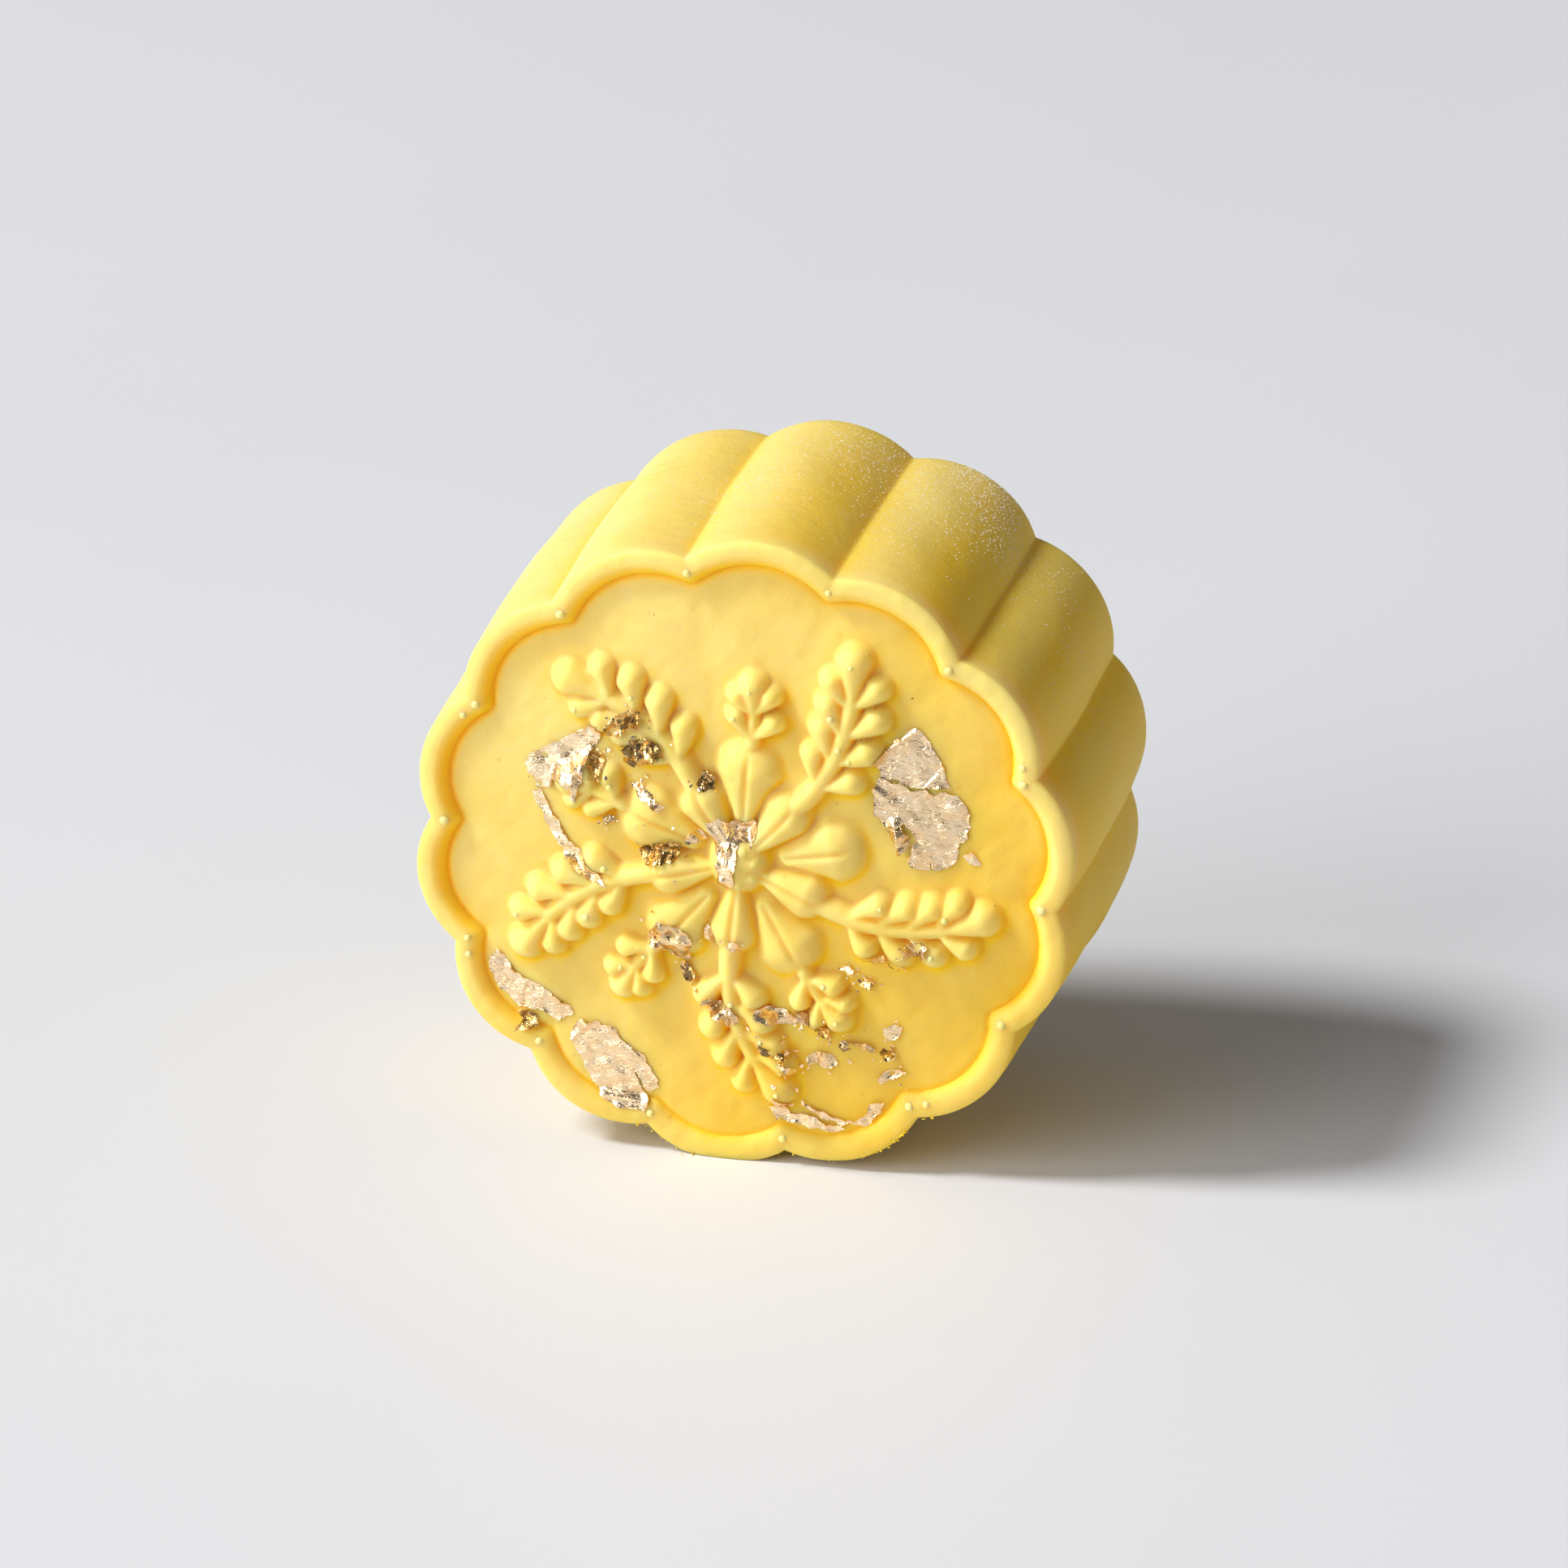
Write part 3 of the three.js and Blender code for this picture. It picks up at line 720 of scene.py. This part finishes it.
def mottle():
    """A colour that wanders between two."""
    group, given, made = node_group(
        "mottle",
        [
            ("First", "NodeSocketColor", (1, 1, 1, 1)),
            ("Second", "NodeSocketColor", (1, 1, 1, 1)),
            ("Scale", "NodeSocketFloat", 1.0),
            ("Detail", "NodeSocketFloat", 2.0),
        ],
        [("Colour", "NodeSocketColor")],
    )
    cloud = clouds(group, put(group, "TexCoord").outputs["Object"], given["Scale"], given["Detail"])
    group.links.new(mixed(group, cloud, given["First"], given["Second"]), made["Colour"])
    return group


mottle_group = mottle()


def dull_material(name, first, second, scale, detail, roughness):
    material, tree, skin = shaded(name)
    mix = {"First": first, "Second": second, "Scale": scale, "Detail": detail}
    colour = put(tree, "Group", mix, node_tree=mottle_group).outputs["Colour"]
    tree.links.new(colour, skin.inputs["Base Color"])
    skin.inputs["Roughness"].default_value = roughness
    return material


starch = dull_material("starch", STARCH_SHADED, STARCH_BRIGHT, 5000.0, 2.0, 0.85)
starch_grains = build_starch()
starch_grains.data.materials.append(starch)
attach(starch_grains, "root")


# ------------------------------------------------------------------------------
# Crumbs and specks. Shreds of dough that the mould pinched off along the front bottom edge, and a few dark
# specks of bran in the skin of the face.
# ------------------------------------------------------------------------------
CRUMB_COUNT = 55
CRUMB_SIZES = (0.12, 0.16, 0.22, 0.30)
# Each speck of bran is (across, up, size).
BRAN_SPECKS = (
    (16.4, 17.9, 0.15), (-21.0, 6.3, 0.09), (24.6, -2.4, 0.10), (12.4, 22.1, 0.08), (-8.6, 24.0, 0.08),
)
BRAN_DARK, BRAN_BROWN = (0.05, 0.03, 0.01, 1), (0.20, 0.12, 0.03, 1)


def build_crumbs():
    """Ragged shreds, mostly flat against the cake, from the outer edge of the rim down to the table."""
    draw = random.Random(21)
    points, faces = [], []
    for _ in range(CRUMB_COUNT):
        turn = draw.choice((draw.uniform(-128, -98), draw.uniform(-88, -52), draw.uniform(-64, -54)))
        angle = math.radians(turn)
        corners = small_stone(draw, draw.choice(CRUMB_SIZES))
        radius = float(outer_edge(np.array(angle))) - draw.uniform(0.0, 0.25)
        across, up = out_from(angle, radius)
        up = max(up, FOOT_DEPTH - LOBE_CREST + 0.05)
        place = Vector(standing(across, up, draw.uniform(-1.4, -0.5)).tolist())
        stretch = Vector((draw.uniform(0.7, 1.8), draw.uniform(0.8, 1.6), draw.uniform(0.5, 1.1))) * MM
        add_stone(points, faces, place, [corner * stretch for corner in corners])
    points = [(p.x, p.y, max(p.z, cake_low.z)) for p in points]
    crumbs = mesh_piece("dough_crumbs", points, faces)
    rounding = crumbs.modifiers.new("rounding", "SUBSURF")
    rounding.levels = rounding.render_levels = 1
    return crumbs


def build_specks():
    draw = random.Random(22)
    points, faces = [], []
    for x, y, size in BRAN_SPECKS:
        out = float(read_map(relief_map, np.array([x]), np.array([y]))[0])
        place = Vector(standing(x, y, out).tolist())
        corners = small_stone(draw, size * MM)
        add_stone(points, faces, place, [Vector((c.x, c.y * 0.4, c.z)) for c in corners])
    return mesh_piece("bran_specks", [tuple(p) for p in points], faces, smooth=False)


dough_crumbs = build_crumbs()
dough_crumbs.data.materials.append(small_dough)
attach(dough_crumbs, "root")
bran_specks = build_specks()
bran_specks.data.materials.append(dull_material("bran", BRAN_DARK, BRAN_BROWN, 9000.0, 2.0, 0.7))
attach(bran_specks, "root")


# ------------------------------------------------------------------------------
# Gold leaf. Six torn flakes of edible leaf, thinner than paper, laid on the face with tweezers. They wrinkle
# where they lie flat, crumple over the buds and the rim, and curl up at their torn edges.
# ------------------------------------------------------------------------------
LEAF_THICKNESS = 0.03
LEAF_LIFT = 0.06
EDGE_STEP = 0.13
NET_STEP = 0.11
leaf_map = np.maximum(relief_map, blurred(relief_map, 0.3))
# The flat leaf's pale and rose tones. On crumpled leaf, deeper gold and brown are painted shade for light
# bouncing in its folds, and near-black a painted dark reflection.
GOLD_PALE, GOLD_ROSE = (0.97, 0.76, 0.50, 1), (0.92, 0.65, 0.37, 1)
GOLD_DEEP, GOLD_BROWN, GOLD_DARK_REFLECTION = (0.92, 0.60, 0.17, 1), (0.62, 0.34, 0.07, 1), (0.10, 0.055, 0.01, 1)
# Three sets of fine wrinkles: the way they run, in radians, their scale, width and share of the height.
WRINKLES = ((-0.7, 900.0, 0.016, 1.0), (0.35, 1300.0, 0.020, 1.0), (-0.2, 2400.0, 0.030, 0.5))

# Each scrap of a flake is (corners, crumple from 0 to 1, the way its fine wrinkles run in degrees).
RIGHT_UPPER = (
    (13.5, 9.9), (13.1, 11.4), (13.6, 12.2), (15.2, 13.9), (16.8, 15.1), (17.9, 14.2), (18.8, 12.5),
    (19.5, 11.4), (20.2, 9.2), (17.7, 9.1), (16.4, 9.1), (15.3, 9.6),
)
RIGHT_LOWER = (
    (13.4, 9.8), (12.9, 8.4), (13.0, 6.2), (14.2, 4.8), (15.6, 5.2), (16.5, 4.8), (16.9, 3.4), (16.2, 1.6),
    (16.6, 0.9), (18.3, 0.7), (18.45, 1.5), (18.6, 0.7), (20.1, 0.9), (21.0, 2.2), (21.1, 3.7), (22.0, 4.3),
    (22.1, 6.9), (21.0, 8.4), (19.3, 8.7), (18.6, 8.3), (18.0, 8.8), (16.4, 8.7), (15.6, 9.3),
)
RIGHT_FOLD = ((14.2, 4.7), (14.8, 3.5), (15.6, 2.3), (16.3, 3.1), (16.4, 4.3), (15.4, 5.1))
RIGHT_CHIP = ((21.6, 2.4), (22.1, 3.0), (22.8, 2.5), (23.3, 1.5), (22.2, 1.5))
UPPER_STRIP = (
    (-21.5, 7.9), (-20.1, 9.2), (-16.9, 11.1), (-13.9, 12.9), (-13.9, 10.9), (-15.0, 9.4), (-15.2, 7.0),
    (-16.0, 5.2), (-16.9, 6.6), (-18.4, 6.7), (-18.8, 5.6), (-20.1, 5.4),
)
UPPER_BAND = (
    (-20.7, 5.1), (-20.0, 3.5), (-18.1, 0.0), (-17.2, -1.3), (-15.3, -2.7), (-12.9, -3.4), (-14.0, -2.1),
    (-15.3, -0.7), (-16.9, 0.2), (-17.7, 1.5), (-19.3, 4.5), (-19.6, 5.2),
)
CENTRE = (
    (-3.0, 4.2), (-2.4, 2.6), (-1.9, 0.7), (-2.0, -2.3), (-1.0, -2.4), (-0.2, -1.6), (0.2, 2.4), (1.0, 2.6),
    (1.3, 1.9), (1.9, 3.9), (1.4, 4.8), (0.3, 4.4), (-0.1, 4.8), (-1.1, 4.2), (-2.0, 4.9),
)
CENTRE_ARM = ((-5.2, 2.1), (-4.4, 3.2), (-3.2, 2.8), (-3.1, 2.1), (-4.6, 1.7))
LOWER_LEFT = (
    (-24.4, -12.2), (-23.2, -13.4), (-22.5, -14.3), (-20.9, -15.2), (-19.9, -15.4), (-18.9, -16.4),
    (-17.0, -17.3), (-16.7, -17.9), (-18.4, -19.0), (-19.9, -18.2), (-22.5, -17.9), (-24.0, -16.5),
    (-25.2, -14.5), (-25.2, -13.2),
)
LOWER_TAIL = ((-22.3, -18.1), (-20.6, -18.5), (-20.2, -19.6), (-22.6, -20.3), (-22.0, -19.2))
EDGE = (
    (-17.2, -20.6), (-17.0, -19.6), (-16.1, -18.6), (-14.2, -18.7), (-13.0, -18.9), (-11.5, -20.8),
    (-10.0, -21.6), (-8.6, -24.1), (-8.6, -25.1), (-9.4, -25.8), (-10.9, -23.4), (-9.9, -25.9),
    (-9.4, -26.7), (-9.8, -27.5), (-12.9, -27.4), (-14.5, -26.1), (-15.3, -24.6), (-16.2, -22.8),
)
BOTTOM_SMILE = (
    (2.5, -25.8), (3.3, -25.5), (4.1, -25.5), (4.6, -26.4), (6.0, -26.2), (8.2, -27.1), (10.0, -27.2),
    (9.6, -27.8), (7.2, -27.7), (4.2, -27.2), (2.9, -26.4),
)
BOTTOM_MIDDLE = ((6.0, -25.2), (6.7, -25.3), (8.2, -26.0), (10.9, -26.7), (9.5, -27.0), (7.1, -26.2))
BOTTOM_END = ((10.7, -26.9), (12.0, -25.6), (12.5, -24.6), (13.9, -24.0), (13.4, -25.3), (12.2, -27.0))
FLAKES = {
    "gold_leaf_right": (
        (RIGHT_UPPER, 0.12, -10), (RIGHT_LOWER, 0.14, -50), (RIGHT_FOLD, 0.6, 70), (RIGHT_CHIP, 0.3, 30)
    ),
    "gold_leaf_upper_left": ((UPPER_STRIP, 0.2, -52), (UPPER_BAND, 0.3, 20)),
    "gold_leaf_centre": ((CENTRE, 0.15, -20), (CENTRE_ARM, 0.25, 10)),
    "gold_leaf_lower_left": ((LOWER_LEFT, 0.12, 70), (LOWER_TAIL, 0.9, 0)),
    "gold_leaf_edge": ((EDGE, 0.18, -40),),
    "gold_leaf_bottom": ((BOTTOM_SMILE, 0.3, -20), (BOTTOM_MIDDLE, 0.3, -30), (BOTTOM_END, 0.4, 50)),
}
# Ridges folded into the leaf: from, to, height and how far the ridge spreads to each side.
FOLDS = (
    ((15.0, 5.2), (15.7, 2.2), 0.65, 0.85),
    ((13.3, 11.9), (16.9, 14.8), 0.20, 0.35),
    ((17.9, 9.2), (19.5, 11.0), 0.14, 0.22),
    ((12.8, 8.9), (13.9, 8.0), 0.20, 0.5),
    ((-16.3, 8.8), (-16.0, 5.6), 0.35, 0.5),
    ((-14.6, 10.0), (-13.6, 7.6), 0.35, 0.5),
    ((-17.3, -20.9), (-15.2, -18.8), 0.30, 0.5),
    ((-13.9, -26.2), (-9.6, -26.6), 0.35, 0.6),
    ((-13.2, -19.0), (-10.2, -22.0), 0.12, 0.25),
    ((-0.6, 4.6), (-0.9, 0.4), 0.12, 0.25),
)


def turned(points, degrees):
    c, s = math.cos(math.radians(degrees)), math.sin(math.radians(degrees))
    return np.stack([points[:, 0] * c + points[:, 1] * s, points[:, 1] * c - points[:, 0] * s], -1)


def torn_edge(corners, seed):
    """Points close together round an outline, torn ragged."""
    corners = np.array(corners)
    stretches = []
    for near, far in zip(corners, np.roll(corners, -1, 0)):
        count = max(1, round(math.dist(near, far) / EDGE_STEP))
        stretches.append(near + (far - near) * np.arange(count)[:, None] / count)
    edge = np.concatenate(stretches)
    broad = np.stack([waves(edge, 0.7, seed), waves(edge, 0.7, seed + 1)], -1)
    fine = np.stack([waves(edge, 0.22, seed + 2), waves(edge, 0.22, seed + 3)], -1)
    return edge + 0.10 * broad + 0.045 * fine


def enclosed(edge, points):
    """Which points lie inside a closed edge."""
    after = np.roll(edge, -1, 0)
    x, y = points[:, :1], points[:, 1:]
    crosses = (edge[:, 1] > y) != (after[:, 1] > y)
    rise = np.where(after[:, 1] == edge[:, 1], 1e-9, after[:, 1] - edge[:, 1])
    left_of = x < (after[:, 0] - edge[:, 0]) * (y - edge[:, 1]) / rise + edge[:, 0]
    return np.sum(crosses & left_of, 1) % 2 == 1


def leaf_net(edge, seed):
    """Uneven triangles that fill a torn edge, and how far each corner is from the edge."""
    draw = np.random.default_rng(seed)
    low, high = edge.min(0), edge.max(0)
    across, up = np.meshgrid(np.arange(low[0], high[0], NET_STEP), np.arange(low[1], high[1], NET_STEP))
    inner = np.stack([across.ravel(), up.ravel()], -1)
    inner = inner + draw.uniform(-0.32, 0.32, inner.shape) * NET_STEP
    inner = inner[enclosed(edge, inner)]
    apart = np.hypot(inner[:, :1] - edge[:, 0], inner[:, 1:] - edge[:, 1]).min(1)
    inner = inner[apart > 0.4 * NET_STEP]
    loose = [Vector(point) for point in np.concatenate([edge, inner])]
    flat, _, faces, *_ = delaunay_2d_cdt(loose, [], [list(range(len(edge)))], 1, 1e-4)
    flat = np.array([tuple(point) for point in flat])
    from_edge = np.hypot(flat[:, :1] - edge[:, 0], flat[:, 1:] - edge[:, 1]).min(1)
    return flat, faces, from_edge


def folded(points):
    """Height of the folds at points."""
    rise = np.zeros(len(points))
    for near, far, height, spread in FOLDS:
        near, way = np.array(near), np.array(far) - near
        along = np.clip((points - near) @ way / (way @ way), 0, 1)
        away = np.hypot(*(points - near - along[:, None] * way).T)
        rise = np.maximum(rise, height * np.clip(1 - away / spread, 0, 1))
    return rise


def facets(points, size, seed, count=4):
    """Flat facets that meet in sharp creases, about -1 to 1, whose ridges are about this far apart."""
    draw = np.random.default_rng(seed)
    total = np.zeros(len(points))
    for _ in range(count):
        way = draw.normal(size=2)
        way /= np.linalg.norm(way) * size * draw.uniform(0.8, 1.7)
        turns = points @ way + draw.random()
        total += 4 * np.abs(turns - np.round(turns)) - 1
    return total / math.sqrt(count)


def lay_leaf(corners, crumple, run, seed):
    """One scrap of leaf, laid over the face: its points and triangles."""
    flat, faces, from_edge = leaf_net(torn_edge(corners, seed), seed + 4)
    along = turned(flat, run) * (0.3, 1.0)
    creases = 0.014 * facets(along, 0.7, seed + 5) + 0.03 * facets(flat, 2.4, seed + 6)
    crumples = 0.42 * facets(flat, 1.9, seed + 7) + 0.10 * facets(flat, 0.9, seed + 8) + 0.3
    curl = 0.16 * np.exp(-from_edge / 0.16) * np.clip(waves(flat, 0.9, seed + 9), 0, 1.5)
    out = read_map(leaf_map, flat[:, 0], flat[:, 1]) + LEAF_LIFT + creases + crumple * crumples + curl
    return standing(flat[:, 0], flat[:, 1], out + folded(flat)), faces


def leaf_piece(name, scraps, seed):
    points, faces, crumpled = [], [], []
    for number, (corners, crumple, run) in enumerate(scraps):
        laid, sides = lay_leaf(corners, crumple, run, seed + 20 * number)
        start = sum(len(part) for part in points)
        points.append(laid)
        crumpled.append(np.full(len(laid), crumple))
        faces += [tuple(start + c for c in side) for side in sides]
    piece = mesh_piece(name, np.concatenate(points), faces, smooth=False)
    add_layer(piece, "crumple", np.concatenate(crumpled))
    body = piece.modifiers.new("thickness", "SOLIDIFY")
    body.thickness = LEAF_THICKNESS * MM
    body.offset = 0
    return piece


def gold_material():
    material, tree, skin = shaded("gold_leaf")
    place = put(tree, "TexCoord").outputs["Object"]
    cloud = clouds(tree, place, 900.0, 4.0)
    tone = ramp(tree, cloud, 0.38, 0.66)
    flat_gold = mixed(tree, tone, GOLD_PALE, GOLD_ROSE)
    # Painted shade on crumpled leaf, deeper gold and brown, with random cells near-black as a painted dark
    # reflection.
    cell_draw = cells(tree, place, 1250.0)[1]
    dark_reflection = ramp(tree, cell_draw[0], 0.55, 0.70, 0.0, 0.9)
    folded_gold_shade = mixed(tree, dark_reflection, mixed(tree, tone, GOLD_DEEP, GOLD_BROWN), GOLD_DARK_REFLECTION)
    crumple = put(tree, "Attribute", attribute_name="crumple").outputs["Fac"]
    deep = ramp(tree, crumple, 0.35, 0.9, 0.0, 0.85)
    tree.links.new(mixed(tree, deep, flat_gold, folded_gold_shade), skin.inputs["Base Color"])
    skin.inputs["Metallic"].default_value = 1.0
    tree.links.new(ramp(tree, cloud, 0.0, 1.0, 0.10, 0.30), skin.inputs["Roughness"])
    height = 0.0
    for turn, scale, width, share in WRINKLES:
        lines = {"Vector": place, "Rotation": (0, turn, 0), "Scale": (0.35, 1.0, 1.0)}
        cloud = clouds(tree, put(tree, "Mapping", lines).outputs[0], scale, 2.0)
        off = calc(tree, "ABSOLUTE", calc(tree, "SUBTRACT", cloud, 0.5))
        height = calc(tree, "ADD", height, calc(tree, "MULTIPLY", ramp(tree, off, 0.0, width), share))
    bump = put(tree, "Bump", {"Strength": 0.8, "Distance": 0.000024, "Height": height})
    tree.links.new(bump.outputs[0], skin.inputs["Normal"])
    return material


gold = gold_material()


def finish_leaf(piece):
    piece.data.materials.append(gold)
    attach(piece, "root")


for number, (node, scraps) in enumerate(FLAKES.items()):
    flake = leaf_piece(node + "_torn", scraps, 100 + 200 * number)
    finish_leaf(flake)
    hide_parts(node)


# ------------------------------------------------------------------------------
# Scraps and crumbs of gold leaf. Bits that broke off while the flakes were laid: small crumpled scraps caught
# on the leaves and petals, and a dust of crumbs round them.
# ------------------------------------------------------------------------------
# A scrap is (across, up, long, wide, turn in degrees, crumple).
SCRAPS = (
    (-11.2, 13.6, 3.8, 2.2, 35, 1.0), (-9.6, 10.6, 4.6, 3.0, 20, 1.0), (-9.1, 6.2, 3.9, 0.9, -29, 0.4),
    (-13.9, 8.6, 2.6, 1.6, 110, 0.8), (-12.9, 3.1, 1.9, 0.9, 25, 0.8), (-7.6, 0.6, 5.0, 2.0, 18, 1.0),
    (-3.1, 8.3, 1.9, 1.6, 80, 1.0), (-6.5, -8.5, 4.8, 4.0, -30, 0.6), (-2.9, -7.9, 2.6, 1.2, 95, 0.3),
    (-0.3, -8.2, 1.4, 1.2, 0, 0.4), (-5.2, -12.0, 2.8, 1.2, -60, 0.9), (-1.8, -15.3, 4.2, 1.9, -28, 0.6),
    (3.5, -15.6, 4.4, 1.4, -12, 0.3), (6.2, -15.8, 2.0, 1.8, 60, 0.6), (3.3, -19.2, 3.2, 0.9, -35, 0.9),
    (4.9, -20.8, 2.2, 0.8, -40, 0.5), (7.7, -20.1, 3.2, 1.7, 8, 0.5), (8.1, -16.8, 2.2, 1.4, 95, 0.9),
    (11.1, -18.4, 3.6, 1.1, 3, 0.7), (14.8, -16.6, 2.2, 1.6, 30, 0.4), (14.3, -18.8, 1.9, 1.0, -35, 1.0),
    (14.5, -21.3, 3.2, 1.1, 22, 0.4), (10.2, -10.2, 2.0, 0.8, -20, 0.4), (12.3, -11.5, 2.0, 1.1, 5, 0.8),
    (13.8, -8.7, 3.2, 0.7, 3, 0.9), (17.3, -7.1, 2.4, 1.9, 35, 0.6), (3.9, -24.7, 3.2, 0.5, -34, 0.5),
)


def scrap_corners(across, up, long, wide, turn, seed):
    """The rough outline of a scrap: an oblong with uneven corners."""
    draw = random.Random(seed)
    count = max(5, round(1.6 * (long + wide)))
    c, s = math.cos(math.radians(turn)), math.sin(math.radians(turn))
    corners = []
    for i in range(count):
        angle = 2 * math.pi * (i + draw.uniform(-0.25, 0.25)) / count
        reach = draw.uniform(0.78, 1.12) / max(abs(math.cos(angle)), abs(math.sin(angle))) ** 0.5
        dx, dy = math.cos(angle) * reach * long / 2, math.sin(angle) * reach * wide / 2
        corners.append((across + dx * c - dy * s, up + dx * s + dy * c))
    return corners


def build_scraps():
    scraps = []
    draw = random.Random(77)
    for number, (across, up, long, wide, turn, crumple) in enumerate(SCRAPS):
        scraps.append((scrap_corners(across, up, long, wide, turn, number), crumple, turn + 40))
        for _ in range(round(3 + 5 * crumple)):
            size = draw.uniform(0.18, 0.5)
            reach = draw.uniform(0.7, 1.5)
            way = draw.uniform(0, 2 * math.pi)
            x = across + reach * long / 2 * math.cos(way)
            y = up + reach * long / 2 * math.sin(way)
            crumb = scrap_corners(x, y, size, size * 0.7, draw.uniform(0, 180), draw.random())
            scraps.append((crumb, 0.3, 0))
    return leaf_piece("gold_leaf_scraps", scraps, 3000)


finish_leaf(build_scraps())


# ------------------------------------------------------------------------------
# Table, lights and camera. A plain pale table, one soft key light from the upper left and a little in front,
# a broad weak fill from the front left, a very weak one from the right, and a dim room.
# ------------------------------------------------------------------------------
scene = bpy.context.scene
scene.view_settings.view_transform = "Standard"
TABLE_HALF = 2.5
TABLE_COOL, TABLE_PALE = (0.665, 0.67, 0.695, 1), (0.705, 0.71, 0.735, 1)
table_corners = [(x * TABLE_HALF, y * TABLE_HALF, cad_low.z) for x, y in ((-1, -1), (1, -1), (1, 1), (-1, 1))]
table = mesh_piece("table", table_corners, [(0, 1, 2, 3)])
table.data.materials.append(dull_material("pale_table", TABLE_COOL, TABLE_PALE, 9.0, 3.0, 0.55))


def add_area_light(name, direction, distance, size, power):
    """A round area light, out in a direction from the cake's middle and turned to it."""
    data = bpy.data.lights.new(name, "AREA")
    data.shape = "DISK"
    data.size = size
    data.energy = power
    light = bpy.data.objects.new(name, data)
    middle = (cad_low + cad_high) / 2
    way = Vector(direction).normalized()
    light.location = middle + way * distance
    light.rotation_euler = (-way).to_track_quat("-Z", "Y").to_euler()
    scene.collection.objects.link(light)


add_area_light("key", (-0.61, -0.24, 0.765), distance=6.0, size=1.4, power=363.0)
add_area_light("fill", (-0.62, -0.70, 0.36), distance=1.8, size=1.4, power=22.4)
add_area_light("right", (0.95, -0.15, 0.08), distance=1.8, size=1.4, power=5.4)

world = bpy.data.worlds.new("room")
scene.world = world
world.use_nodes = True
background = world.node_tree.nodes["Background"]
background.inputs["Color"].default_value = (1, 1, 1, 1)
background.inputs["Strength"].default_value = 0.148

# The camera looks from a little to the right and above, from far enough off to flatten the view. It aims to
# the right of the cake's axis and above it, in millimetres.
AIM_RIGHT, AIM_UP = 4.12, 7.29
camera_data = bpy.data.cameras.new("camera")
camera_data.sensor_width = 36
camera_data.lens = 211
camera = bpy.data.objects.new("camera", camera_data)
azimuth, elevation, distance = math.radians(14.2), math.radians(23.2), 0.873
backward = Vector(
    (math.sin(azimuth) * math.cos(elevation), -math.cos(azimuth) * math.cos(elevation), math.sin(elevation))
)
rightward = Vector((math.cos(azimuth), math.sin(azimuth), 0))
upward = backward.cross(rightward)
camera.location = AXIS + backward * distance
aim = AXIS + rightward * AIM_RIGHT * MM + upward * AIM_UP * MM
camera.rotation_euler = (aim - camera.location).to_track_quat("-Z", "Y").to_euler()
scene.collection.objects.link(camera)
scene.camera = camera
